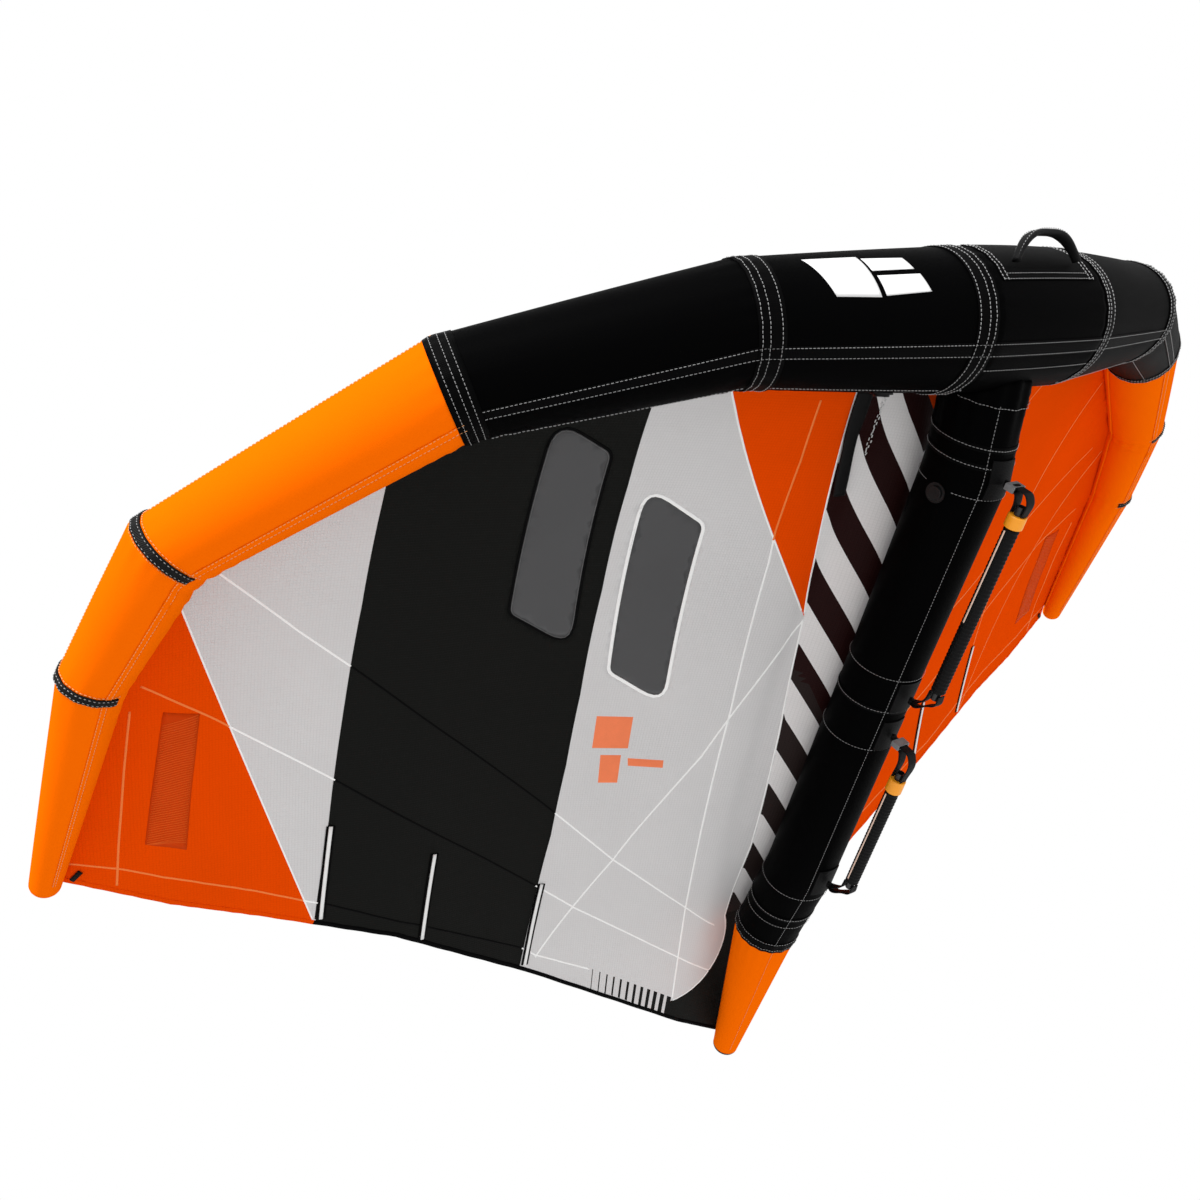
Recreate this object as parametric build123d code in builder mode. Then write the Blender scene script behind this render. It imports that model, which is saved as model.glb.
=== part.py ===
"""Inflatable hand-held wing: leading edge tube, centre strut, canopy and two grips.

X runs along the span, +Y towards the trailing edge, +Z up through the canopy.
The origin is the middle of the front grip, where the rider's hand holds the wing.
"""

import os
from math import cos, hypot, radians, sin

from build123d import *

os.makedirs("parts", exist_ok=True)

SIDES = (("left", -1), ("right", 1))

# Leading edge: (x, y, z, radius) of each joint between sewn tube segments, right half.
LE_JOINTS = [
    (130, -520, 204, 126),
    (550, -490, 287, 104),
    (970, -335, 432, 86),
    (1376, -23, 551, 70),
    (1488, 236, 583, 56),
    (1580, 733, 630, 29),
]
LE_Y, LE_Z, LE_R = LE_JOINTS[0][1:]
CASING_WALL = 2.0
BLADDER_GAP = 0.5
BLADDER_WALL = 1.5
END_WALL = 4.0

# Strut: (y, z, radius) of each section, from inside the leading edge to the tail joint.
STRUT_SECTIONS = [(-490, 190, 78), (-250, 140, 83), (300, 140, 80), (850, 142, 81), (1095, 168, 78)]
TAIL_END = (1550, 146, 34)
TAIL_CAP_LENGTH = 18
SADDLE_GAP = 0.6

# Cloth bands round the tube joints.
BAND_LIFT = 0.3
BAND_THICK = 1.2
SEAM_BAND_HALF = 18
WEAR_STRAP_HALF = 16

# Canopy: per station the attachment on the tube, the trailing edge point and the camber height.
CLOTH_THICK = 3.0
CLOTH_CLEAR = 3.0
ATTACH_ANGLE = 35
TE_POINTS = [
    (130, 1478, 225),
    (560, 1235, 387),
    (900, 1025, 462),
    (1190, 915, 550),
    (1360, 843, 588),
    (1546, 752, 641),
]
CAMBER = [60, 125, 75, 40, 20, 1]
TIP_ATTACH_FRACTION = 0.92
CAMBER_FRONT = 0.3
CENTRE_LINE = [(-412, 280), (-250, 247), (0, 229), (300, 227), (850, 230), (1095, 253), (1543, 187)]
PROFILE_STEPS = (0, 0.15, 0.35, 0.6, 0.8, 1)

# Joins between the cloth panels, seen from above: right half.
TIP_JOIN = [(1078, 961), (1400, -80)]
OUTER_JOIN = [(1078, 961), (1049, 690), (1032, 408), (1018, 156), (1013, -83), (1012, -440)]
DARK_JOIN = [(606, -440), (561, -109), (535, 157), (521, 441), (521, 638), (532, 839), (559, 1039), (590, 1250), (640, 1700)]
WEDGE_TOP = [(516, -440), (202, -440)]
WEDGE_POINT = (100, 195)
ROOT_JOIN = [(75, 515), (55, 870), (52, 1128)]
ROOT_CORNER = (78, 1335)
ROOT_END = [(165, 1402), (165, 1700)]

# Windows of clear film, left half only: corners seen from above, and corner radius.
WINDOW_SIDE = -1
WINDOWS = [
    ([(750, -262), (615, -185), (560, 318), (722, 208)], 38),
    ([(520, -108), (374, -20), (335, 462), (470, 378)], 34),
]

# Battens in their pockets along the trailing edge: front and rear end seen from above.
BATTENS = [((1047, 703), (1066, 945)), ((818, 822), (841, 1050)), ((540, 980), (570, 1212))]
POCKET_WIDTH, POCKET_THICK = 22, 4.5
BATTEN_WIDTH, BATTEN_THICK = 11, 2.5
POCKET_DROP = 2.0

# Sleeve beside the strut where the canopy meets the leading edge.
SLEEVE_ENDS = ((172, -352), (131, -114))
SLEEVE_WIDTH, SLEEVE_THICK, SLEEVE_DROP = 26, 9, 4

# Trailing edge tape and tip webbing.
TAPE_WIDTH, TAPE_THICK, TAPE_GAP = 9, 4, 0.5
TIP_WEBBING_ENDS = ((1518, 724), (1518, 752))
TIP_WEBBING_WIDTH, TIP_WEBBING_THICK, TIP_WEBBING_DROP = 18, 2, 2

# Front handle on the leading edge.
LE_PATCH_LENGTH = 216
LE_PATCH_ANGLES = (160, 217)
LE_PATCH_THICK = 2.4
LOOP_SPAN, LOOP_HEIGHT, LOOP_BEND, LOOP_R = 165, 48, 30, 8
LOOP_FOOT_R, LOOP_FOOT_LENGTH, LOOP_GAP = 9, 24, 0.6
LOOP_RISE, LOOP_ANGLE = 30, 203

# Grips under the strut.
GRIP_R, RING_R, CORE_R, CORE_BORE_R = 17, 18, 9, 7
CORE_FIT = 0.1
STRAP_WIDTH, STRAP_THICK = 25, 4
FOOT_R, FOOT_LENGTH = 6, 14
NECK_WIDTH, NECK_START, NECK_TOP, NECK_REACH = 10, 16, 6, 1000
PATCH_SIZE = (64, 78)
PATCH_THICK = 2.2
FITTING = (34, 13, 20)
# name, foot y, corner y, ring from, ring to, grip from, grip to, rear foot y, hinge z
HANDLES = [
    ("front", -262, -268, -223, -197, -196, 196, 256, 47),
    ("rear", 360, 362, 436, 470, 471, 756, 818, 50),
]

# Valves: flange, neck, cap plug and non-return poppet.
FLANGE_R, FLANGE_THICK = 20, 3
NECK_R, NECK_BORE_R, NECK_LENGTH = 10, 8, 16
VALVE_HOLE_R = 10.6
CAP_R, CAP_THICK, PLUG_R, PLUG_DEPTH = 14, 4, 7.6, 5
POPPET_R, POPPET_THICK, POPPET_DEPTH, STEM_R, STEM_LENGTH = 7.4, 2, 7, 2, 6
LE_VALVE_X, LE_VALVE_ANGLE = -260, -20
STRUT_VALVE_Y, STRUT_VALVE_ANGLE = -210, 188


def unit(vector):
    return vector / vector.length


# ---------------------------------------------------------------- leading edge
LE_CHAIN = [(-x, y, z, r) for x, y, z, r in reversed(LE_JOINTS)] + LE_JOINTS
LE_POINTS = [Vector(x, y, z) for x, y, z, r in LE_CHAIN]


def le_tangent(index):
    """Direction along the tube at a joint, halfway between its two segments."""
    before = LE_POINTS[index] - LE_POINTS[max(index - 1, 0)]
    after = LE_POINTS[min(index + 1, len(LE_POINTS) - 1)] - LE_POINTS[index]
    total = Vector(0, 0, 0)
    for step in (before, after):
        if step.length > 0:
            total += unit(step)
    return unit(total)


def le_plane(index, shift=0.0, towards=None):
    """Mitre plane of a tube joint, moved along one of its segments if asked."""
    tangent = le_tangent(index)
    origin = LE_POINTS[index]
    if towards is not None:
        origin = origin + unit(LE_POINTS[towards] - origin) * shift
    return Plane(origin=origin, x_dir=Vector(0, 0, 1).cross(tangent), z_dir=tangent)


def le_radius(index, shift=0.0, towards=None):
    """Tube radius at a joint, or a little way along one of its segments."""
    radius = LE_CHAIN[index][3]
    if towards is None:
        return radius
    length = (LE_POINTS[towards] - LE_POINTS[index]).length
    return radius + (LE_CHAIN[towards][3] - radius) * shift / length


def le_point(x):
    """Centre and radius of the tube at a span position on its straight segments."""
    for start, end in zip(LE_CHAIN, LE_CHAIN[1:]):
        if start[0] <= x <= end[0]:
            t = (x - start[0]) / (end[0] - start[0])
            return [a + (b - a) * t for a, b in zip(start, end)]
    raise ValueError(x)


valve_x, valve_y, valve_z, valve_r = le_point(LE_VALVE_X)
valve_axis = unit(LE_POINTS[4] - LE_POINTS[5])
valve_cone = (LE_CHAIN[5][3] - LE_CHAIN[4][3]) / (LE_POINTS[4] - LE_POINTS[5]).length
valve_out = Vector(0, cos(radians(LE_VALVE_ANGLE)), sin(radians(LE_VALVE_ANGLE)))
valve_out = unit(valve_out - valve_axis * valve_out.dot(valve_axis))
le_valve_plane = Plane(
    origin=Vector(valve_x, valve_y, valve_z) + valve_out * valve_r,
    x_dir=valve_axis,
    z_dir=unit(valve_out + valve_axis * valve_cone),
)

CASING_NAMES = {
    5: "le_centre_casing",
    4: "le_inner_casing_left",
    6: "le_inner_casing_right",
    3: "le_middle_casing_left",
    7: "le_middle_casing_right",
    2: "le_outer_casing_left",
    8: "le_outer_casing_right",
    1: "le_shoulder_casing_left",
    9: "le_shoulder_casing_right",
    0: "le_tip_casing_left",
    10: "le_tip_casing_right",
}
for index, label in CASING_NAMES.items():
    with BuildPart() as casing:
        for joint in (index, index + 1):
            with BuildSketch(le_plane(joint)):
                Circle(LE_CHAIN[joint][3])
        loft(ruled=True)
        for tip in {index, index + 1} & {0, len(LE_CHAIN) - 1}:
            with Locations(LE_POINTS[tip]):
                Sphere(LE_CHAIN[tip][3])
        for joint in (index, index + 1):
            with BuildSketch(le_plane(joint)):
                Circle(LE_CHAIN[joint][3] - CASING_WALL)
        loft(ruled=True, mode=Mode.SUBTRACT)
        if index == 4:
            with BuildSketch(le_valve_plane):
                Circle(VALVE_HOLE_R)
            extrude(amount=NECK_LENGTH, both=True, mode=Mode.SUBTRACT)
    casing.part.label = label
    export_step(casing.part, f"parts/{label}.step")

with BuildPart() as le_bladder:
    for wall in (0, BLADDER_WALL):
        last = len(LE_CHAIN) - 1
        for joint in range(last + 1):
            inward = {0: 1, last: last - 1}.get(joint)
            plane = le_plane(joint, END_WALL + 3 * wall, inward)
            with BuildSketch(plane):
                Circle(LE_CHAIN[joint][3] - CASING_WALL - BLADDER_GAP - wall)
        loft(ruled=True, mode=Mode.SUBTRACT if wall else Mode.ADD)
    with BuildSketch(le_valve_plane):
        Circle(VALVE_HOLE_R)
    extrude(amount=-2 * NECK_LENGTH, mode=Mode.SUBTRACT)
le_bladder.part.label = "le_bladder"
export_step(le_bladder.part, "parts/le_bladder.step")


def band(joint, half_width):
    """Ring of cloth round a tube joint, bent with the joint."""
    with BuildPart() as ring:
        for lift, mode in ((BAND_LIFT + BAND_THICK, Mode.ADD), (BAND_LIFT, Mode.SUBTRACT)):
            for shift, towards in ((half_width, joint - 1), (0, None), (half_width, joint + 1)):
                with BuildSketch(le_plane(joint, shift, towards)):
                    Circle(le_radius(joint, shift, towards) + lift)
            loft(ruled=True, mode=mode)
    return ring.part


with BuildPart() as le_seam_bands:
    for joint in (3, 4, 5, 6, 7, 8):
        add(band(joint, SEAM_BAND_HALF))
le_seam_bands.part.label = "le_seam_bands"
export_step(le_seam_bands.part, "parts/le_seam_bands.step")

with BuildPart() as le_wear_straps:
    for joint in (1, 2, 9, 10):
        add(band(joint, WEAR_STRAP_HALF))
le_wear_straps.part.label = "le_wear_straps"
export_step(le_wear_straps.part, "parts/le_wear_straps.step")

# Patch and folding loop of the handle on the nose of the leading edge.
with BuildPart() as le_handle_patch:
    with BuildSketch(Plane.YZ.offset(-LE_PATCH_LENGTH / 2)):
        with Locations((LE_Y, LE_Z)):
            patch_inner = LE_R + BAND_LIFT
            patch_outer = patch_inner + LE_PATCH_THICK
            with BuildLine():
                start, end = LE_PATCH_ANGLES
                centre = (LE_Y, LE_Z)
                outer_arc = CenterArc(centre, patch_outer, start, end - start)
                inner_arc = CenterArc(centre, patch_inner, start, end - start)
                Line(outer_arc @ 0, inner_arc @ 0)
                Line(outer_arc @ 1, inner_arc @ 1)
            make_face()
    extrude(amount=LE_PATCH_LENGTH)
le_handle_patch.part.label = "le_handle_patch"
export_step(le_handle_patch.part, "parts/le_handle_patch.step")

loop_reach = patch_outer + LOOP_GAP + LOOP_FOOT_R
LOOP_HINGE_Y = LE_Y + loop_reach * cos(radians(LOOP_ANGLE))
LOOP_HINGE_Z = LE_Z + loop_reach * sin(radians(LOOP_ANGLE))
loop_out = Vector(0, -cos(radians(LOOP_RISE)), sin(radians(LOOP_RISE)))
loop_plane = Plane(
    origin=(0, LOOP_HINGE_Y, LOOP_HINGE_Z), x_dir=(1, 0, 0), z_dir=Vector(1, 0, 0).cross(loop_out)
)
with BuildPart() as le_handle_loop:
    half = LOOP_SPAN / 2
    with BuildLine(loop_plane):
        loop_path = FilletPolyline(
            (-half, 0),
            (-half * 0.86, LOOP_HEIGHT),
            (half * 0.86, LOOP_HEIGHT),
            (half, 0),
            radius=LOOP_BEND,
        )
    with BuildSketch(Plane(origin=loop_path @ 0, z_dir=loop_path % 0)):
        Circle(LOOP_R)
    sweep()
    for side in (-1, 1):
        with BuildSketch(Plane.YZ.offset(side * half - LOOP_FOOT_LENGTH / 2)):
            with Locations((LOOP_HINGE_Y, LOOP_HINGE_Z)):
                Circle(LOOP_FOOT_R)
        extrude(amount=LOOP_FOOT_LENGTH)
le_handle_loop.part.label = "le_handle_loop"
export_step(le_handle_loop.part, "parts/le_handle_loop.step")

# ---------------------------------------------------------------- strut
STRUT_POINTS = [Vector(0, y, z) for y, z, r in STRUT_SECTIONS]


def strut_plane(index):
    """Mitre plane of a strut section."""
    before = STRUT_POINTS[index] - STRUT_POINTS[max(index - 1, 0)]
    after = STRUT_POINTS[min(index + 1, len(STRUT_POINTS) - 1)] - STRUT_POINTS[index]
    total = Vector(0, 0, 0)
    for step in (before, after):
        if step.length > 0:
            total += unit(step)
    return Plane(origin=STRUT_POINTS[index], x_dir=(1, 0, 0), z_dir=unit(total))


def strut_at(y):
    """Centre height and radius of the strut at a fore-and-aft position."""
    for start, end in zip(STRUT_SECTIONS, STRUT_SECTIONS[1:]):
        if start[0] <= y <= end[0]:
            t = (y - start[0]) / (end[0] - start[0])
            return start[1] + (end[1] - start[1]) * t, start[2] + (end[2] - start[2]) * t
    raise ValueError(y)


def strut_solid(offset):
    """Solid of the strut's tube, its radius changed by an offset."""
    with BuildPart() as tube:
        for index, section in enumerate(STRUT_SECTIONS):
            with BuildSketch(strut_plane(index)):
                Circle(section[2] + offset)
        loft(ruled=True)
    return tube.part


def saddle_cutter(radius):
    """Round of the leading edge, which cuts the strut's front end."""
    with BuildPart() as cutter:
        with BuildSketch(Plane.YZ.offset(-LE_R)):
            with Locations((LE_Y, LE_Z)):
                Circle(radius)
        extrude(amount=2 * LE_R)
    return cutter.part


def strut_air(offset):
    """Hollow of the strut bladder, closed at both ends."""
    with BuildPart() as hollow:
        add(strut_solid(offset))
        add(saddle_cutter(LE_R + SADDLE_GAP + 2 * END_WALL), mode=Mode.SUBTRACT)
        split(bisect_by=Plane.XZ.offset(END_WALL - STRUT_SECTIONS[-1][0]), keep=Keep.TOP)
    return hollow.part


strut_z, strut_r = strut_at(STRUT_VALVE_Y)
strut_valve_out = Vector(cos(radians(STRUT_VALVE_ANGLE)), 0, sin(radians(STRUT_VALVE_ANGLE)))
strut_valve_plane = Plane(
    origin=Vector(0, STRUT_VALVE_Y, strut_z) + strut_valve_out * strut_r,
    x_dir=(0, 1, 0),
    z_dir=strut_valve_out,
)

with BuildPart() as strut_casing:
    add(strut_solid(0))
    add(strut_solid(-CASING_WALL), mode=Mode.SUBTRACT)
    add(saddle_cutter(LE_R + SADDLE_GAP), mode=Mode.SUBTRACT)
    with BuildSketch(strut_valve_plane):
        Circle(VALVE_HOLE_R)
    extrude(amount=NECK_LENGTH, both=True, mode=Mode.SUBTRACT)
strut_casing.part.label = "strut_casing"
export_step(strut_casing.part, "parts/strut_casing.step")

with BuildPart() as strut_bladder:
    add(strut_solid(-CASING_WALL - BLADDER_GAP))
    add(saddle_cutter(LE_R + SADDLE_GAP + END_WALL), mode=Mode.SUBTRACT)
    add(strut_air(-CASING_WALL - BLADDER_GAP - BLADDER_WALL), mode=Mode.SUBTRACT)
    with BuildSketch(strut_valve_plane):
        Circle(VALVE_HOLE_R)
    extrude(amount=-2 * NECK_LENGTH, mode=Mode.SUBTRACT)
strut_bladder.part.label = "strut_bladder"
export_step(strut_bladder.part, "parts/strut_bladder.step")

tail_y, tail_z, tail_r = STRUT_SECTIONS[-1]
end_y, end_z, end_r = TAIL_END
tail_tangent = unit(Vector(0, end_y - tail_y, end_z - tail_z))
with BuildPart() as tail_casing:
    for offset, end_shift, mode in ((0, 0, Mode.ADD), (CASING_WALL, END_WALL, Mode.SUBTRACT)):
        with BuildSketch(strut_plane(len(STRUT_SECTIONS) - 1)):
            Circle(tail_r - offset)
        with BuildSketch(Plane(origin=(0, end_y - end_shift, end_z), x_dir=(1, 0, 0), z_dir=tail_tangent)):
            Circle(end_r - offset)
        loft(ruled=True, mode=mode)
tail_casing.part.label = "tail_casing"
export_step(tail_casing.part, "parts/tail_casing.step")

with BuildPart() as tail_cap:
    with BuildSketch(Plane(origin=(0, end_y + SADDLE_GAP, end_z), x_dir=(1, 0, 0), z_dir=tail_tangent)):
        Circle(end_r)
    extrude(amount=TAIL_CAP_LENGTH)
    fillet(tail_cap.edges().group_by(Axis.Y)[-1], end_r / 2)
tail_cap.part.label = "tail_cap"
export_step(tail_cap.part, "parts/tail_cap.step")

with BuildPart() as handle_patches:
    add(strut_solid(BAND_LIFT + PATCH_THICK))
    add(strut_solid(BAND_LIFT), mode=Mode.SUBTRACT)
    with BuildSketch(Plane.XY):
        for name, foot_y, *rest in HANDLES:
            for y in (foot_y, rest[5]):
                with Locations((0, y)):
                    Rectangle(*PATCH_SIZE)
    extrude(amount=STRUT_SECTIONS[1][1] - 20, mode=Mode.INTERSECT)
handle_patches.part.label = "handle_patches"
export_step(handle_patches.part, "parts/handle_patches.step")


# ---------------------------------------------------------------- canopy
def attach_point(joint):
    """Point just clear of the tube where the cloth leaves it, at a joint of the right half."""
    index = len(LE_JOINTS) + joint
    tangent = le_tangent(index)
    centre, radius = LE_POINTS[index], LE_CHAIN[index][3]
    if joint == len(LE_JOINTS) - 1:
        before = LE_POINTS[index - 1]
        centre = before + (centre - before) * TIP_ATTACH_FRACTION
        radius = LE_CHAIN[index - 1][3] + (radius - LE_CHAIN[index - 1][3]) * TIP_ATTACH_FRACTION
    back = unit(Vector(0, 0, 1).cross(tangent))
    up = tangent.cross(back)
    angle = radians(ATTACH_ANGLE)
    return centre + (back * cos(angle) + up * sin(angle)) * (radius + CLOTH_CLEAR)


def camber_shape(t):
    return 4 * t * (1 - t) * (1 + CAMBER_FRONT * (0.5 - t))


def mirrored(point, side):
    return Vector(side * point.X, point.Y, point.Z)


def profile_station(joint, side):
    """Plane of one canopy profile, and the profile's underside as points in that plane."""
    front, back = attach_point(joint), Vector(*TE_POINTS[joint])
    along = mirrored(Vector(back.X - front.X, back.Y - front.Y, 0), side)
    plane = Plane(origin=mirrored(front, side), x_dir=along, z_dir=along.cross(Vector(0, 0, 1)))
    chord, rise = along.length, back.Z - front.Z
    points = [(chord * t, rise * t + CAMBER[joint] * camber_shape(t)) for t in PROFILE_STEPS]
    return plane, points


def centre_station():
    """The profile over the strut, on the plane of symmetry."""
    front_y, front_z = CENTRE_LINE[0]
    plane = Plane(origin=(0, front_y, front_z), x_dir=(0, 1, 0), z_dir=(1, 0, 0))
    return plane, [(y - front_y, z - front_z) for y, z in CENTRE_LINE]


def stations(side):
    return [centre_station()] + [profile_station(joint, side) for joint in range(len(TE_POINTS))]


def canopy_half(side):
    """Whole cloth of one half, before it is cut into panels."""
    with BuildPart() as half:
        for plane, points in stations(side):
            with BuildSketch(plane):
                with BuildLine():
                    under = Spline(*points)
                    over = Spline(*[(s, t + CLOTH_THICK) for s, t in points])
                    Line(under @ 0, over @ 0)
                    Line(under @ 1, over @ 1)
                make_face()
        loft(ruled=True)
    return half.part


def tape_half(side):
    """Tape bound along the trailing edge of one half."""
    with BuildPart() as half:
        for plane, points in stations(side):
            s, t = points[-1]
            with BuildSketch(plane):
                with Locations((s + TAPE_GAP + TAPE_WIDTH / 2, t + CLOTH_THICK / 2)):
                    Rectangle(TAPE_WIDTH, TAPE_THICK)
        loft(ruled=True)
    return half.part


def outline(points, side):
    """Closed outline seen from above, for one half."""
    with BuildLine() as border:
        Polyline(*[(side * x, y) for x, y in points], close=True)
    return border.line


def root_curve(side):
    """Join between the inner and root panels, rounded at the strut's tail."""
    flat = [(side * x, y) for x, y in [WEDGE_POINT] + ROOT_JOIN]
    with BuildLine() as curve:
        Polyline(*flat)
        ThreePointArc(flat[-1], (side * ROOT_CORNER[0], ROOT_CORNER[1]), (side * ROOT_END[0][0], ROOT_END[0][1]))
        Line(*[(side * x, y) for x, y in ROOT_END])
    return curve.line


def panel_sketches(side):
    """Name and plan outline of each cloth panel of one half."""
    tip = TIP_JOIN + [(1750, -80), (1750, 1300), (1078, 1300)]
    outer = OUTER_JOIN + [(1500, -440), TIP_JOIN[1]]
    dark = OUTER_JOIN[::-1] + [(1078, 1700)] + DARK_JOIN[::-1]
    wedge = [WEDGE_POINT] + WEDGE_TOP
    for name, points in (("tip", tip), ("outer", outer), ("dark", dark), ("wedge", wedge)):
        with BuildSketch() as sketch:
            with BuildLine():
                add(outline(points, side))
            make_face()
        yield name, sketch.sketch
    with BuildSketch() as inner:
        with BuildLine():
            add(root_curve(side))
            rest = [ROOT_END[1]] + DARK_JOIN[::-1] + [WEDGE_TOP[0], WEDGE_POINT]
            Polyline(*[(side * x, y) for x, y in rest])
        make_face()
    yield "inner", inner.sketch
    with BuildSketch() as root:
        with BuildLine():
            add(root_curve(side))
            rest = [ROOT_END[1], (0, 1700), (0, -440), WEDGE_TOP[1], WEDGE_POINT]
            Polyline(*[(side * x, y) for x, y in rest])
        make_face()
    yield "root", root.sketch


def window_sketch(side):
    with BuildSketch() as openings:
        for corners, radius in WINDOWS:
            with BuildSketch(mode=Mode.PRIVATE) as pane:
                with BuildLine():
                    add(outline(corners, side))
                make_face()
                fillet(pane.vertices(), radius)
            add(pane.sketch)
    return openings.sketch


def panes(side):
    """The cut-out cloth of the windows, which is where their clear film goes."""
    with BuildPart() as film:
        add(cloth[side])
        extrude(window_sketch(side), amount=SKY, mode=Mode.INTERSECT)
    return film.part


SKY = 900
cloth = {side: canopy_half(side) for name, side in SIDES}
for side_name, side in SIDES:
    for panel_name, plan in panel_sketches(side):
        label = f"{panel_name}_panel_{side_name}"
        with BuildPart() as panel:
            add(cloth[side])
            extrude(plan, amount=SKY, mode=Mode.INTERSECT)
            if panel_name in ("dark", "inner") and side == WINDOW_SIDE:
                extrude(window_sketch(side), amount=SKY, mode=Mode.SUBTRACT)
        panel.part.label = label
        export_step(panel.part, f"parts/{label}.step")

with BuildPart() as windows:
    add(panes(WINDOW_SIDE))
windows.part.label = "windows"
export_step(windows.part, "parts/windows.step")

with BuildPart() as trailing_edge_tape:
    for side_name, side in SIDES:
        add(tape_half(side))
trailing_edge_tape.part.label = "trailing_edge_tape"
export_step(trailing_edge_tape.part, "parts/trailing_edge_tape.step")


def cloth_height(x, y, side):
    """Height of the cloth's underside over a plan point."""
    line = Axis((side * x, y, 0), (0, 0, 1))
    hits = cloth[side].find_intersection_points(line)
    return min(point.Z for point, normal in hits)


def hung_plane(start, end, side, drop):
    """Plane hung under the cloth along a plan line, tilted with the cloth."""
    (x0, y0), (x1, y1) = start, end
    front = Vector(side * x0, y0, cloth_height(x0, y0, side) - drop)
    rear = Vector(side * x1, y1, cloth_height(x1, y1, side) - drop)
    beside = Vector(side * (x0 + 20), y0, cloth_height(x0 + 20, y0, side) - drop)
    along = unit(rear - front)
    normal = unit(along.cross(beside - front))
    if normal.Z < 0:
        normal = normal * -1
    return Plane(origin=(front + rear) / 2, x_dir=along, z_dir=normal), (rear - front).length


with BuildPart() as batten_pockets:
    for side_name, side in SIDES:
        for start, end in BATTENS:
            plane, length = hung_plane(start, end, side, POCKET_DROP)
            with BuildSketch(plane.offset(-POCKET_THICK)):
                RectangleRounded(length, POCKET_WIDTH, 4)
            extrude(amount=POCKET_THICK)
            with BuildSketch(plane.offset(-POCKET_THICK / 2 - BATTEN_THICK / 2)):
                with Locations((6, 0)):
                    Rectangle(length, BATTEN_WIDTH)
            extrude(amount=BATTEN_THICK, mode=Mode.SUBTRACT)
batten_pockets.part.label = "batten_pockets"
export_step(batten_pockets.part, "parts/batten_pockets.step")

with BuildPart() as battens:
    for side_name, side in SIDES:
        for start, end in BATTENS:
            plane, length = hung_plane(start, end, side, POCKET_DROP)
            with BuildSketch(plane.offset(-POCKET_THICK / 2 - BATTEN_THICK / 2 + 0.2)):
                with Locations((1, 0)):
                    Rectangle(length - 12, BATTEN_WIDTH - 0.6)
            extrude(amount=BATTEN_THICK - 0.4)
battens.part.label = "battens"
export_step(battens.part, "parts/battens.step")

with BuildPart() as root_sleeves:
    for side_name, side in SIDES:
        plane, length = hung_plane(*SLEEVE_ENDS, side, SLEEVE_DROP)
        with BuildSketch(plane.offset(-SLEEVE_THICK)):
            SlotOverall(length, SLEEVE_WIDTH)
        extrude(amount=SLEEVE_THICK)
root_sleeves.part.label = "root_sleeves"
export_step(root_sleeves.part, "parts/root_sleeves.step")

with BuildPart() as tip_webbing:
    for side_name, side in SIDES:
        plane, length = hung_plane(*TIP_WEBBING_ENDS, side, TIP_WEBBING_DROP)
        with BuildSketch(plane.offset(-TIP_WEBBING_THICK)):
            RectangleRounded(length, TIP_WEBBING_WIDTH, 3)
        extrude(amount=TIP_WEBBING_THICK)
tip_webbing.part.label = "tip_webbing"
export_step(tip_webbing.part, "parts/tip_webbing.step")

# ---------------------------------------------------------------- grips under the strut
def neck_sketch(hinge_z):
    """Front view of a strap: full width, then gathered to a narrow neck at its sewn foot."""
    half, neck = STRAP_WIDTH / 2, NECK_WIDTH / 2
    right = [(half, -STRAP_WIDTH), (half, hinge_z - NECK_START), (neck, hinge_z), (neck, hinge_z + NECK_TOP)]
    with BuildSketch(Plane.XZ) as front_view:
        with BuildLine():
            Polyline(*right, *[(-x, z) for x, z in reversed(right)], close=True)
        make_face()
    return front_view.sketch


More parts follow.
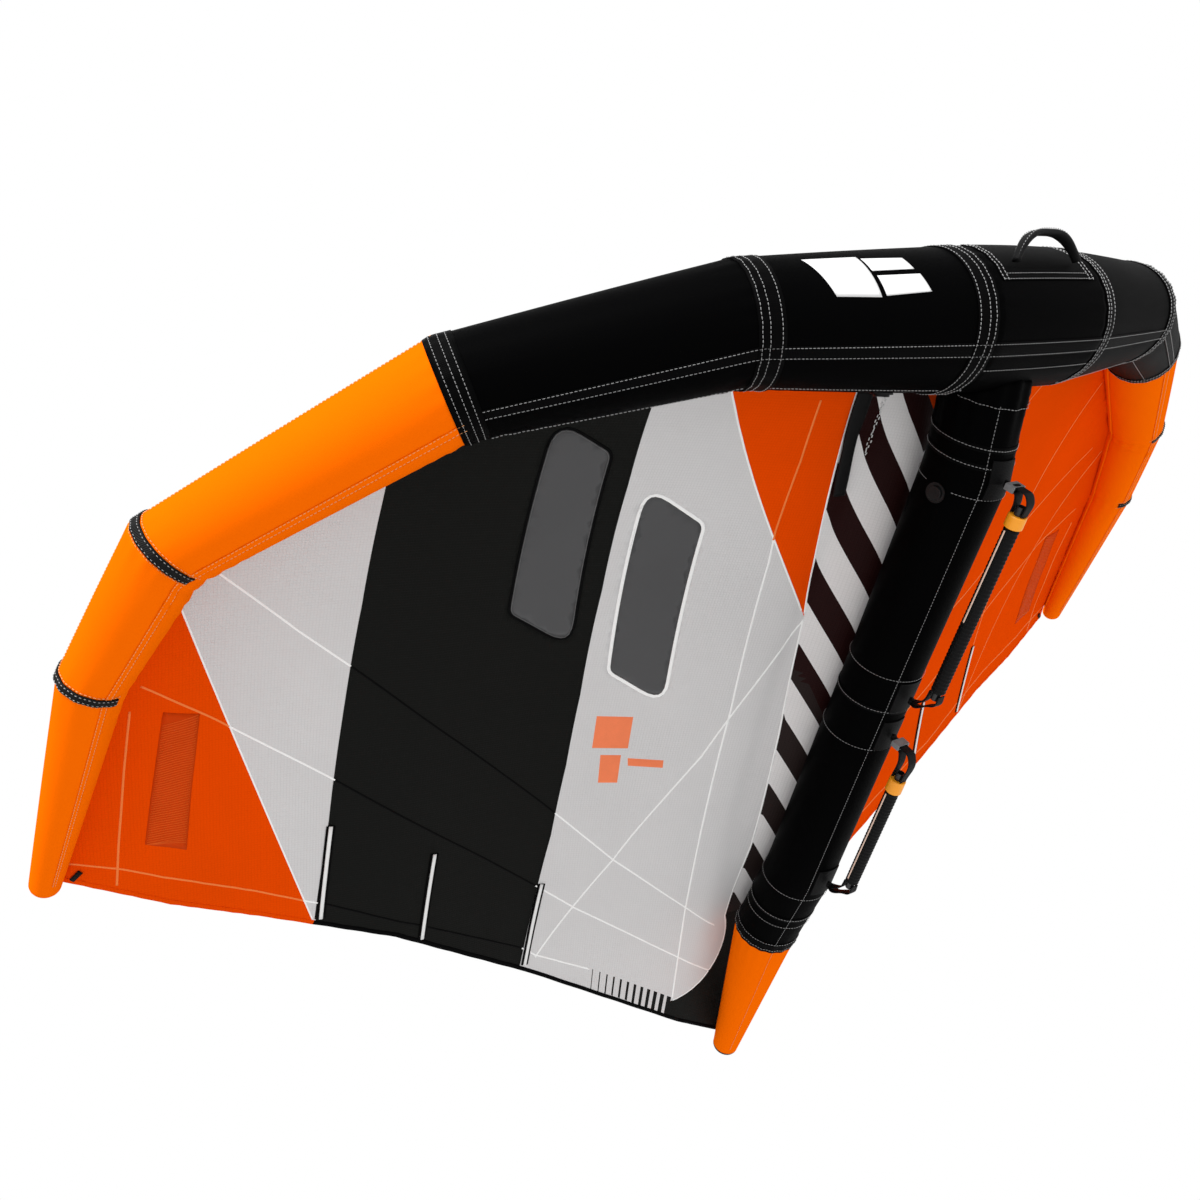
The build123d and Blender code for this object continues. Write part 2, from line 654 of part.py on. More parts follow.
for name, foot_y, corner_y, ring_from, ring_to, grip_from, grip_to, rear_y, hinge_z in HANDLES:
    bore = CORE_R + CORE_FIT
    core_from, core_to = ring_from - 18, grip_to + 18

    with BuildPart() as grip:
        with BuildSketch(Plane.XZ.offset(-grip_to)):
            Circle(GRIP_R)
            Circle(bore, mode=Mode.SUBTRACT)
        extrude(amount=grip_to - grip_from)
        chamfer(grip.edges().filter_by(GeomType.CIRCLE).sort_by(SortBy.RADIUS)[-2:], 2)
    grip.part.label = f"{name}_grip"
    export_step(grip.part, f"parts/{name}_grip.step")

    with BuildPart() as ring:
        with BuildSketch(Plane.XZ.offset(-ring_to)):
            Circle(RING_R)
            Circle(bore, mode=Mode.SUBTRACT)
        extrude(amount=ring_to - ring_from)
        chamfer(ring.edges().filter_by(GeomType.CIRCLE).sort_by(SortBy.RADIUS)[-2:], 1.5)
    ring.part.label = f"{name}_grip_ring"
    export_step(ring.part, f"parts/{name}_grip_ring.step")

    with BuildPart() as core:
        with BuildSketch(Plane.XZ.offset(-core_to)):
            Circle(CORE_R)
            Circle(CORE_BORE_R, mode=Mode.SUBTRACT)
        extrude(amount=core_to - core_from)
    core.part.label = f"{name}_grip_core"
    export_step(core.part, f"parts/{name}_grip_core.step")

    # Strap that leaves the strut, turns the corner at the fitting and wraps the core.
    with BuildPart() as front_strap:
        with BuildSketch(Plane.YZ.offset(-STRAP_WIDTH / 2)):
            with BuildLine():
                Polyline(
                    (foot_y - STRAP_THICK / 2, hinge_z),
                    (corner_y - STRAP_THICK / 2, 10),
                    (corner_y, -7),
                    (corner_y + 20, -9),
                    (corner_y + 20, 9),
                    (corner_y + STRAP_THICK / 2, 14),
                    (foot_y + STRAP_THICK / 2, hinge_z),
                    close=True,
                )
            make_face()
        extrude(amount=STRAP_WIDTH)
        extrude(neck_sketch(hinge_z), amount=NECK_REACH, both=True, mode=Mode.INTERSECT)
        with BuildSketch(Plane.XZ.offset(-(corner_y + 20))):
            Rectangle(STRAP_WIDTH, 18)
        with BuildSketch(Plane.XZ.offset(-(ring_from - 1))):
            Circle(bore + 4)
        loft()
        with BuildSketch(Plane.XZ.offset(-(foot_y + FOOT_LENGTH / 2))):
            with Locations((0, hinge_z)):
                Circle(FOOT_R)
        extrude(amount=FOOT_LENGTH)
        with BuildSketch(Plane.XZ.offset(-(core_from - 1))):
            Circle(bore)
        extrude(amount=-(ring_from - core_from + 2), mode=Mode.SUBTRACT)
    front_strap.part.label = f"{name}_grip_front_strap"
    export_step(front_strap.part, f"parts/{name}_grip_front_strap.step")

    with BuildPart() as fitting:
        fitting_x, fitting_y, fitting_z = FITTING
        with Locations(((0, (corner_y + foot_y) / 2, 30))):
            Box(*FITTING)
            Box(STRAP_WIDTH + 1, STRAP_THICK + 4, 2 * fitting_z, mode=Mode.SUBTRACT)
        fillet(fitting.edges().filter_by(Axis.Z).group_by(SortBy.LENGTH)[-1], 1)
    fitting.part.label = f"{name}_grip_fitting"
    export_step(fitting.part, f"parts/{name}_grip_fitting.step")

    with BuildPart() as rear_strap:
        with BuildSketch(Plane.YZ.offset(-STRAP_WIDTH / 2)):
            with BuildLine():
                Polyline(
                    (core_to + 2, 8),
                    (rear_y - STRAP_THICK, hinge_z + 1),
                    (rear_y + STRAP_THICK, hinge_z - 2),
                    (core_to + 12, -9),
                    (core_to + 2, -12),
                    close=True,
                )
            make_face()
        extrude(amount=STRAP_WIDTH)
        extrude(neck_sketch(hinge_z), amount=NECK_REACH, both=True, mode=Mode.INTERSECT)
        with BuildSketch(Plane.XZ.offset(-(core_to + 2))):
            Circle(bore + 4)
        extrude(amount=core_to + 2 - (grip_to + 1))
        with BuildSketch(Plane.XZ.offset(-(rear_y + FOOT_LENGTH / 2))):
            with Locations((0, hinge_z)):
                Circle(FOOT_R)
        extrude(amount=FOOT_LENGTH)
        with BuildSketch(Plane.XZ.offset(-grip_to)):
            Circle(bore)
        extrude(amount=-(core_to - grip_to + 1), mode=Mode.SUBTRACT)
    rear_strap.part.label = f"{name}_grip_rear_strap"
    export_step(rear_strap.part, f"parts/{name}_grip_rear_strap.step")

# ---------------------------------------------------------------- valves
for name, plane in (("le", le_valve_plane), ("strut", strut_valve_plane)):
    with BuildPart() as valve_body:
        with BuildSketch(plane.offset(BAND_LIFT)):
            Circle(FLANGE_R)
        extrude(amount=FLANGE_THICK)
        with BuildSketch(plane.offset(BAND_LIFT)):
            Circle(NECK_R)
        extrude(amount=-NECK_LENGTH)
        with BuildSketch(plane.offset(BAND_LIFT + FLANGE_THICK)):
            Circle(NECK_BORE_R)
        extrude(amount=-(FLANGE_THICK + NECK_LENGTH), mode=Mode.SUBTRACT)
    valve_body.part.label = f"{name}_valve_body"
    export_step(valve_body.part, f"parts/{name}_valve_body.step")

    top = BAND_LIFT + FLANGE_THICK
    with BuildPart() as valve_cap:
        with BuildSketch(plane.offset(top + 0.4)):
            Circle(CAP_R)
        extrude(amount=CAP_THICK)
        fillet(valve_cap.edges(), 1)
        with BuildSketch(plane.offset(top + 1)):
            Circle(PLUG_R)
        extrude(amount=-PLUG_DEPTH - 1)
    valve_cap.part.label = f"{name}_valve_cap"
    export_step(valve_cap.part, f"parts/{name}_valve_cap.step")

    with BuildPart() as poppet:
        with BuildSketch(plane.offset(top - POPPET_DEPTH)):
            Circle(POPPET_R)
        extrude(amount=-POPPET_THICK)
        with BuildSketch(plane.offset(top - POPPET_DEPTH - POPPET_THICK)):
            Circle(STEM_R)
        extrude(amount=-STEM_LENGTH)
    poppet.part.label = f"{name}_valve_poppet"
    export_step(poppet.part, f"parts/{name}_valve_poppet.step")
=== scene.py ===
"""Looks of an inflatable hand-held wing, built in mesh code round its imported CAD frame.

Metres. X runs along the span, +Y towards the trailing edge, +Z up through the canopy,
and the origin is the middle of the front grip.
"""

from math import cos, pi, radians, sin

import bmesh
import bpy
import numpy as np
from mathutils import Matrix, Vector
from mathutils.geometry import delaunay_2d_cdt


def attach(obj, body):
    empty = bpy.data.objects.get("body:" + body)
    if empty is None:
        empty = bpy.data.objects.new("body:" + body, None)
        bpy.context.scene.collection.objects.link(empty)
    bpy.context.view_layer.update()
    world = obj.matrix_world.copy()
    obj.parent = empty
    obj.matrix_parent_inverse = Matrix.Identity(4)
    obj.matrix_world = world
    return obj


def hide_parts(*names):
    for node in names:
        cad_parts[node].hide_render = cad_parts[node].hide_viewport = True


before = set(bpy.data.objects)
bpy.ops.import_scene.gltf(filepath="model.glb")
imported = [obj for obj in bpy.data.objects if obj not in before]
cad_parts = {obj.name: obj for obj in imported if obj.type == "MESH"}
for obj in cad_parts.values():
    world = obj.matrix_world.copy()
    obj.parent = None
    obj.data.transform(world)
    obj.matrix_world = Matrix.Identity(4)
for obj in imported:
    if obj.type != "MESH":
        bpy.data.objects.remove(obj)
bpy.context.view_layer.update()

# ---- sizes shared with the CAD part
# Leading edge: (x, y, z, radius) of each joint of the right half, from the middle outwards.
LE_RIGHT = np.array([
    (0.130, -0.520, 0.204, 0.126),
    (0.550, -0.490, 0.287, 0.104),
    (0.970, -0.335, 0.432, 0.086),
    (1.376, -0.023, 0.551, 0.070),
    (1.488, 0.236, 0.583, 0.056),
    (1.580, 0.733, 0.630, 0.029),
])
LE = np.vstack([LE_RIGHT[::-1] * (-1, 1, 1, 1), LE_RIGHT])
P, R = LE[:, :3], LE[:, 3]
LAST = len(P) - 1
LE_Y, LE_Z, LE_R = LE_RIGHT[0, 1:]
# Strut: (y, z, radius) from its root to the end of the tail.
STRUT = np.array([
    (-0.490, 0.190, 0.078), (-0.250, 0.140, 0.083), (0.300, 0.140, 0.080),
    (0.850, 0.142, 0.081), (1.095, 0.168, 0.078), (1.550, 0.146, 0.034),
])
TAIL_Y, END_Y = STRUT[4, 0], STRUT[5, 0]
# Trailing edge of the right half, at the stations of the leading edge, and the camber behind each.
TE = [(0.130, 1.478, 0.225), (0.560, 1.235, 0.387), (0.900, 1.025, 0.462),
      (1.190, 0.915, 0.550), (1.360, 0.843, 0.588), (1.546, 0.752, 0.641)]
CAMBER = [0.060, 0.125, 0.075, 0.040, 0.020, 0.001]
# The sheet on the middle line, and how it meets the leading edge.
CENTRE_Y = [-0.412, -0.250, 0.0, 0.300, 0.850, 1.095, 1.543]
CENTRE_Z = [0.280, 0.247, 0.229, 0.227, 0.230, 0.253, 0.187]
ATTACH, ATTACH_GAP, TIP_SHARE = radians(35), 0.003, 0.92
# Panel joins seen from above, right half.
TIP_JOIN = [(1.078, 0.961), (1.400, -0.080)]
FRONT_Y, REAR_Y = -0.440, 1.700
OUTER_JOIN = [(1.078, 0.961), (1.049, 0.690), (1.032, 0.408), (1.018, 0.156), (1.013, -0.083), (1.012, FRONT_Y)]
DARK_JOIN = [(0.606, FRONT_Y), (0.561, -0.109), (0.535, 0.157), (0.521, 0.441), (0.521, 0.638), (0.532, 0.839),
             (0.559, 1.039), (0.590, 1.250), (0.640, REAR_Y)]
WEDGE = [(0.516, FRONT_Y), (0.202, FRONT_Y), (0.100, 0.195)]
ROOT_JOIN = [(0.100, 0.195), (0.075, 0.515), (0.055, 0.870), (0.052, 1.128)]
ROOT_CORNER, ROOT_END = (0.078, 1.335), [(0.165, 1.402), (0.165, REAR_Y)]
# Corners and corner radius of each window.
WINDOWS = [([(0.750, -0.262), (0.615, -0.185), (0.560, 0.318), (0.722, 0.208)], 0.038),
           ([(0.520, -0.108), (0.374, -0.020), (0.335, 0.462), (0.470, 0.378)], 0.034)]
BATTENS = [((1.047, 0.703), (1.066, 0.945)), ((0.818, 0.822), (0.841, 1.050)), ((0.540, 0.980), (0.570, 1.212))]
# Grips: radii of the foam, of the core and of the line of piping.
GRIP_R, CORE_R, PIPING_R = 0.017, 0.009, 0.0156
# Name, then y of front foot, front corner, ring start, grip start, grip end and rear foot, then hinge z.
HANDLES = [("front", -0.262, -0.268, -0.223, -0.196, 0.196, 0.256, 0.047),
           ("rear", 0.360, 0.362, 0.436, 0.471, 0.756, 0.818, 0.050)]


# ---- small helpers
TINY = 1e-12


def unit(v):
    """Vectors along the last axis, made one long."""
    return v / np.maximum(np.linalg.norm(v, axis=-1, keepdims=True), 1e-9)


def smooth_interp(x, xs, ys):
    """Cubic curve through the points (xs, ys), read at x."""
    x, xs, ys = np.asarray(x, float), np.asarray(xs, float), np.asarray(ys, float)
    slopes = np.gradient(ys, xs)
    k = np.clip(np.searchsorted(xs, x, side="right") - 1, 0, len(xs) - 2)
    width = xs[k + 1] - xs[k]
    t = np.clip((x - xs[k]) / width, 0, 1)
    a, b = 2 * t**3 - 3 * t**2 + 1, t**3 - 2 * t**2 + t
    c, d = 3 * t**2 - 2 * t**3, t**3 - t**2
    return a * ys[k] + b * width * slopes[k] + c * ys[k + 1] + d * width * slopes[k + 1]


def resample(points, step):
    """A polyline with points every step or closer, corners kept."""
    points = np.asarray(points, float)
    out = [points[:1]]
    for a, b in zip(points[:-1], points[1:]):
        count = max(1, int(np.ceil(np.linalg.norm(b - a) / step)))
        out.append(a + (b - a) * (np.arange(1, count + 1) / count)[:, None])
    return np.vstack(out)


def along(points):
    """Distance from the start to each point of a polyline."""
    return np.concatenate([[0], np.cumsum(np.linalg.norm(np.diff(points, axis=0), axis=1))])


def piece(name, points, faces, finish, body="wing", slot=None, indices=None, uvs=None, replaces=(), weld=False):
    """Mesh object that rides on a body; indices give each face its place in a list of finishes."""
    mesh = bpy.data.meshes.new(name)
    mesh.from_pydata(np.asarray(points, float).reshape(-1, 3).tolist(), [], faces)
    for key in finish if isinstance(finish, list) else [finish]:
        mesh.materials.append(M[key])
    if indices is not None:
        mesh.polygons.foreach_set("material_index", np.asarray(indices, np.int32))
    if uvs is not None:
        mesh.uv_layers.new(name="Cloth").data.foreach_set("uv", np.asarray(uvs, np.float32).ravel())
    mesh.shade_smooth()
    work = bmesh.new()
    work.from_mesh(mesh)
    if weld:
        bmesh.ops.remove_doubles(work, verts=work.verts, dist=1e-5)
    bmesh.ops.recalc_face_normals(work, faces=work.faces)
    work.to_mesh(mesh)
    work.free()
    obj = bpy.data.objects.new(name, mesh)
    bpy.context.scene.collection.objects.link(obj)
    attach(obj, body)
    if replaces:
        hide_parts(*replaces)
    return obj


def grid_faces(rows, columns, wrap=False):
    """Quads over a grid of points, closed round each row if it wraps."""
    r, c = np.meshgrid(np.arange(rows - 1), np.arange(columns if wrap else columns - 1), indexing="ij")
    here, across = r * columns + c, r * columns + (c + 1) % columns
    return np.stack([here, across, across + columns, here + columns], -1).reshape(-1, 4)


def shell(name, outer, inner, finish, body="wing", slot=None, nodes=(), wrap=False, rims=(True, True), weld=False):
    """Closed slab between two grids of points, with a map of its cloth in metres."""
    rows, columns = outer.shape[:2]
    size = rows * columns
    quads = grid_faces(rows, columns, wrap)
    index = np.arange(size).reshape(rows, columns)
    if wrap:
        loops = [index[row] for row, rim in zip((0, -1), rims) if rim]
    else:
        loops = [np.concatenate([index[0, :-1], index[:-1, -1], index[-1, :0:-1], index[:0:-1, 0]])]
    edges = [np.stack([a, np.roll(a, -1), np.roll(a, -1) + size, a + size], -1) for a in loops]
    faces = np.vstack([quads, quads[:, ::-1] + size] + edges)
    girth = outer[rows // 2]
    u, v = along(np.vstack([girth, girth[:1]])), along(outer[:, columns // 2])
    cloth = np.stack(np.broadcast_arrays(u[None], v[:, None]), -1)
    wide = columns + 1 if wrap else columns
    uv = cloth[:, :wide].reshape(-1, 2)[grid_faces(rows, wide)]
    rim_uvs = [cloth[:, :columns].reshape(-1, 2)[edge % size] for edge in edges]
    uvs = np.vstack([uv, uv[:, ::-1]] + rim_uvs)
    points = np.concatenate([outer.reshape(-1, 3), inner.reshape(-1, 3)])
    return piece(name, points, faces.tolist(), finish, body, slot, uvs=uvs, replaces=nodes, weld=weld)


def quad_grid(corners, rows, columns):
    """Grid of places between four corners."""
    a, b, c, d = np.asarray(corners, float)
    u, v = np.meshgrid(np.linspace(0, 1, columns), np.linspace(0, 1, rows))
    u, v = u[..., None], v[..., None]
    return (a * (1 - u) + b * u) * (1 - v) + (d * (1 - u) + c * u) * v


def loft(rings):
    """Closed solid through rings of points, (count, points per ring, 3)."""
    count, size = rings.shape[:2]
    faces = grid_faces(count, size, wrap=True).tolist()
    faces += [list(range(size)), list(range((count - 1) * size, count * size))]
    return rings.reshape(-1, 3), faces


def oval(width, thick, count=16, power=2.6):
    """Rounded section, flat sides the more the higher the power."""
    a = np.arange(count) * 2 * pi / count
    turns = ((np.cos(a), width), (np.sin(a), thick))
    return np.stack([np.sign(c) * abs(c) ** (2 / power) * size / 2 for c, size in turns], -1)


def sweep(path, ups, section, widths=None):
    """Rings of a section carried along a path: section x runs across, section y along ups."""
    path = np.asarray(path, float)
    ups = np.broadcast_to(np.asarray(ups, float), path.shape)
    forward = unit(np.gradient(path, axis=0))
    side = unit(np.cross(forward, ups))
    up = np.cross(side, forward)
    widths = np.ones(len(path)) if widths is None else np.asarray(widths, float)
    return (path[:, None] + side[:, None] * section[None, :, :1] * widths[:, None, None]
            + up[:, None] * section[None, :, 1:])


STITCH = np.array([(-0.5, 0, -0.2), (-0.34, 1, -0.2), (-0.34, 0, 1), (-0.34, -1, -0.2), (-0.34, 0, -0.8),
                   (0.34, 1, -0.2), (0.34, 0, 1), (0.34, -1, -0.2), (0.34, 0, -0.8), (0.5, 0, -0.2)])
STITCH_FACES = [(0, 1, 2), (0, 2, 3), (0, 3, 4), (0, 4, 1), (1, 5, 6, 2), (2, 6, 7, 3), (3, 7, 8, 4), (4, 8, 5, 1),
                (9, 6, 5), (9, 7, 6), (9, 8, 7), (9, 5, 8)]
STITCHES_PER_PIECE = 9000


def stitches(name, rows, thread, body="wing", slot="webbing_black", length=0.0054, pitch=0.0072, width=0.0013,
             height=0.0009):
    """Rows of raised thread: each row is a polyline and the outward direction at each of its points."""
    centres, forwards, outs = [], [], []
    for points, normals in rows:
        reach = along(points)
        places = np.arange(pitch / 2, reach[-1], pitch)
        tangent = np.gradient(points, axis=0)
        for store, values in ((centres, points), (forwards, tangent), (outs, normals)):
            store.append(np.stack([np.interp(places, reach, values[:, i]) for i in range(3)], -1))
    centre, forward, out = np.vstack(centres), unit(np.vstack(forwards)), unit(np.vstack(outs))
    side = unit(np.cross(out, forward))
    t, b, n = STITCH[:, 0] * length, STITCH[:, 1] * width / 2, STITCH[:, 2] * height
    verts = (centre[:, None] + forward[:, None] * t[None, :, None] + side[:, None] * b[None, :, None]
             + out[:, None] * n[None, :, None])
    for part, start in enumerate(range(0, len(verts), STITCHES_PER_PIECE)):
        chunk = verts[start:start + STITCHES_PER_PIECE]
        faces = [[i * len(STITCH) + v for v in face] for i in range(len(chunk)) for face in STITCH_FACES]
        label = f"{name}_{part + 1}" if len(verts) > STITCHES_PER_PIECE else name
        piece(label, chunk, faces, thread, body, slot)


# ---- materials
GRAIN_SCALE, GRAIN_SHARE, BUMP_STRENGTH = 420.0, 0.35, 0.5
WAVE_SCALE = 0.314  # a wave texture of this scale has one band per metre
RIPSTOP_SHARPNESS, RIPSTOP_HEIGHT, RIPSTOP_SHADE, RIPSTOP_SHARE = 14.0, 2.0, (0.82, 0.82, 0.82, 1), 0.35
WAVES = {"weave": "XY", "rib": "Y", "plain": ""}


def plug(tree, value, socket):
    """Link an output to a socket, or set the socket to a plain value."""
    if isinstance(value, bpy.types.NodeSocket):
        tree.links.new(value, socket)
    else:
        socket.default_value = value


def new_node(tree, kind, inputs=None, **settings):
    """Node with its settings; its inputs are values or outputs of other nodes."""
    node = tree.nodes.new(kind)
    for key, value in settings.items():
        setattr(node, key, value)
    for key, value in (inputs or {}).items():
        plug(tree, value, node.inputs[key])
    return node


def maths(tree, operation, *values):
    """Output of a math node on values or outputs."""
    node = new_node(tree, "ShaderNodeMath", operation=operation)
    for value, socket in zip(values, node.inputs):
        plug(tree, value, socket)
    return node.outputs[0]


def bands(tree, flat, pitch, directions):
    """Outputs that rise and fall in even bands, pitch metres apart, one for each direction."""
    scale = {"Vector": flat, "Scale": WAVE_SCALE / pitch}
    return [new_node(tree, "ShaderNodeTexWave", scale, bands_direction=way).outputs["Fac"] for way in directions]


def material(name, colour, rough, pattern="weave", size=0.0018, depth=0.0003, drift=0.10, specular=0.4, coat=0.0,
             alpha=1.0, ripstop=0.0, uv=False, blotch=3.0, dust=0.0):
    """Procedural finish: slow colour drift, fine grain, a woven or moulded relief and uneven roughness."""
    mat = bpy.data.materials.new(name)
    mat.use_nodes = True
    tree = mat.node_tree
    place = new_node(tree, "ShaderNodeTexCoord").outputs["Object"]
    flat = new_node(tree, "ShaderNodeUVMap", uv_map="Cloth").outputs["UV"] if uv else place
    cloud, grain = (new_node(tree, "ShaderNodeTexNoise", {"Vector": place, **values}).outputs["Fac"] for values in (
        {"Scale": blotch, "Detail": 5.0, "Roughness": 0.6}, {"Scale": GRAIN_SCALE, "Detail": 2.0}))
    both = maths(tree, "ADD", cloud, maths(tree, "MULTIPLY", grain, GRAIN_SHARE))
    spread = new_node(tree, "ShaderNodeMapRange", {"Value": both, "From Min": 0.45, "From Max": 0.95})
    low = [c * (1 - drift) for c in colour]
    high = [min(1.0, c * (1 + 0.6 * drift) + dust) for c in colour]
    shades = {"A": (*low, 1), "B": (*high, 1), "Factor": spread.outputs["Result"]}
    paint = new_node(tree, "ShaderNodeMix", shades, data_type="RGBA").outputs["Result"]
    relief = bands(tree, flat, size, WAVES[pattern]) or [grain]
    height = maths(tree, "MAXIMUM", *relief) if len(relief) > 1 else relief[0]
    if ripstop:
        lines = [maths(tree, "POWER", line, RIPSTOP_SHARPNESS) for line in bands(tree, flat, ripstop, "XY")]
        grid = maths(tree, "MAXIMUM", *lines)
        height = maths(tree, "MULTIPLY_ADD", grid, RIPSTOP_HEIGHT, height)
        shades = {"A": paint, "B": RIPSTOP_SHADE, "Factor": maths(tree, "MULTIPLY", grid, RIPSTOP_SHARE)}
        paint = new_node(tree, "ShaderNodeMix", shades, data_type="RGBA", blend_type="MULTIPLY").outputs["Result"]
    sheen = {"Value": cloud, "To Min": max(0.03, rough - 0.07), "To Max": min(1.0, rough + 0.09)}
    gloss = new_node(tree, "ShaderNodeMapRange", sheen).outputs["Result"]
    bump = new_node(tree, "ShaderNodeBump", {"Strength": BUMP_STRENGTH, "Distance": depth, "Height": height})
    for key, value in {"Base Color": paint, "Roughness": gloss, "Normal": bump.outputs["Normal"],
                       "Specular IOR Level": specular, "Coat Weight": coat, "Alpha": alpha}.items():
        plug(tree, value, tree.nodes["Principled BSDF"].inputs[key])
    return mat


# Name: colour, roughness and what else the finish needs.
FINISHES = {
    "tube_black": ((0.0010, 0.0010, 0.0011), 0.45, dict(specular=0.008, uv=True, size=0.0016)),
    "tube_orange": ((1.0, 0.152, 0.0006), 0.55, dict(specular=0.0, uv=True, size=0.0016, drift=0.05)),
    "band_black": ((0.0016, 0.0016, 0.0017), 0.50, dict(specular=0.02, uv=True, size=0.0030, depth=0.0006)),
    "cloth_orange": ((0.84, 0.069, 0.0008), 0.52, dict(specular=0.0, ripstop=0.006, drift=0.06)),
    "cloth_grey": ((0.66, 0.65, 0.65), 0.50, dict(specular=0.08, ripstop=0.006, drift=0.04)),
    "cloth_black": ((0.0058, 0.0060, 0.0052), 0.50, dict(specular=0.05, ripstop=0.006)),
    "stripe_white": ((0.80, 0.78, 0.775), 0.50, dict(specular=0.12, ripstop=0.006, drift=0.04)),
    "stripe_dark": ((0.022, 0.014, 0.013), 0.52, dict(specular=0.07, ripstop=0.006)),
    "stripe_maroon": ((0.016, 0.0030, 0.0028), 0.52, dict(specular=0.07, ripstop=0.006)),
    "print_orange": ((0.92, 0.23, 0.095), 0.50, dict(pattern="plain", specular=0.1, blotch=14)),
    "hatch_orange": ((0.60, 0.048, 0.001), 0.55, dict(specular=0.03, size=0.003, uv=True)),
    "rib_orange": ((0.72, 0.100, 0.012), 0.55, dict(specular=0.03, size=0.003)),
    "window_film": ((0.078, 0.078, 0.080), 0.16, dict(pattern="plain", depth=0.0001, specular=0.12, alpha=0.95,
                                                      drift=0.08)),
    "seam_white": ((0.94, 0.94, 0.93), 0.55, dict(size=0.002, specular=0.3, drift=0.05)),
    "seam_orange": ((0.90, 0.215, 0.045), 0.55, dict(size=0.002, specular=0.1, drift=0.05)),
    "seam_black": ((0.0018, 0.0018, 0.0019), 0.50, dict(size=0.002, specular=0.03)),
    "thread_grey": ((0.36, 0.36, 0.36), 0.60, dict(pattern="rib", size=0.001, specular=0.3)),
    "thread_dim": ((0.13, 0.13, 0.13), 0.60, dict(pattern="rib", size=0.001, specular=0.2)),
    "thread_white": ((0.72, 0.72, 0.71), 0.60, dict(pattern="rib", size=0.001, specular=0.3)),
    "thread_orange": ((0.95, 0.42, 0.16), 0.60, dict(pattern="rib", size=0.001, specular=0.3)),
    "print_white": ((0.80, 0.80, 0.80), 0.42, dict(pattern="plain", specular=0.35, drift=0.05, blotch=20)),
    "batten_white": ((0.82, 0.82, 0.81), 0.35, dict(pattern="plain", specular=0.45, drift=0.05)),
    "webbing": ((0.0030, 0.0030, 0.0032), 0.55, dict(pattern="rib", size=0.0022, depth=0.0010, specular=0.12,
                                                     dust=0.002)),
    "grip_foam": ((0.0025, 0.0025, 0.0027), 0.60, dict(pattern="plain", depth=0.0007, specular=0.12, dust=0.001,
                                                       blotch=30)),
    "piping": ((0.85, 0.62, 0.50), 0.50, dict(pattern="rib", size=0.002, specular=0.3)),
    "ring_orange": ((1.0, 0.36, 0.010), 0.38, dict(pattern="plain", depth=0.0004, specular=0.45)),
    "core_black": ((0.010, 0.010, 0.011), 0.32, dict(pattern="rib", size=0.004, depth=0.0002, coat=0.25)),
    "fitting_grey": ((0.16, 0.165, 0.17), 0.40, dict(pattern="plain", depth=0.0006, specular=0.5, blotch=60,
                                                     dust=0.05)),
    "valve_black": ((0.0026, 0.0026, 0.0028), 0.36, dict(pattern="plain", depth=0.0004, specular=0.22, blotch=60,
                                                         dust=0.003)),
    "patch_grey": ((0.0030, 0.0030, 0.0032), 0.50, dict(size=0.003, depth=0.0008, specular=0.05, dust=0.001)),
    "bladder_film": ((0.75, 0.78, 0.80), 0.25, dict(pattern="plain", specular=0.5)),
    "floor": ((0.86, 0.86, 0.86), 0.85, dict(pattern="plain", depth=0.001, specular=0.1, drift=0.02)),
}
M = {name: material(name, colour, rough, **more) for name, (colour, rough, more) in FINISHES.items()}

# ---- leading edge surface
DIRECTIONS = unit(np.diff(P, axis=0))
LENGTHS = np.linalg.norm(np.diff(P, axis=0), axis=1)
TANGENTS = unit(np.vstack([DIRECTIONS[:1], DIRECTIONS[:-1] + DIRECTIONS[1:], DIRECTIONS[-1:]]))
BACK = unit(np.cross((0, 0, 1), TANGENTS))
UP = np.cross(TANGENTS, BACK)
BENDS = np.vstack([np.zeros(3), np.diff(DIRECTIONS, axis=0), np.zeros(3)])
# The tube swells between its joints, puckers along their seams and folds on the inside of a bend.
SWELL_SHARE, PUCKER, PUCKER_DECAY, PUCKER_PITCH = 0.014, 0.0008, 0.026, 0.030
FOLD, FOLD_DECAY, FOLD_PITCH, FULL_BEND = 0.0022, 0.060, 0.034, 0.35


def le_s(joint, offset):
    """Place along the leading edge at an offset from a joint, towards the right tip if positive."""
    segment = joint if offset >= 0 and joint < LAST else joint - 1
    return joint + offset / LENGTHS[max(segment, 0)]


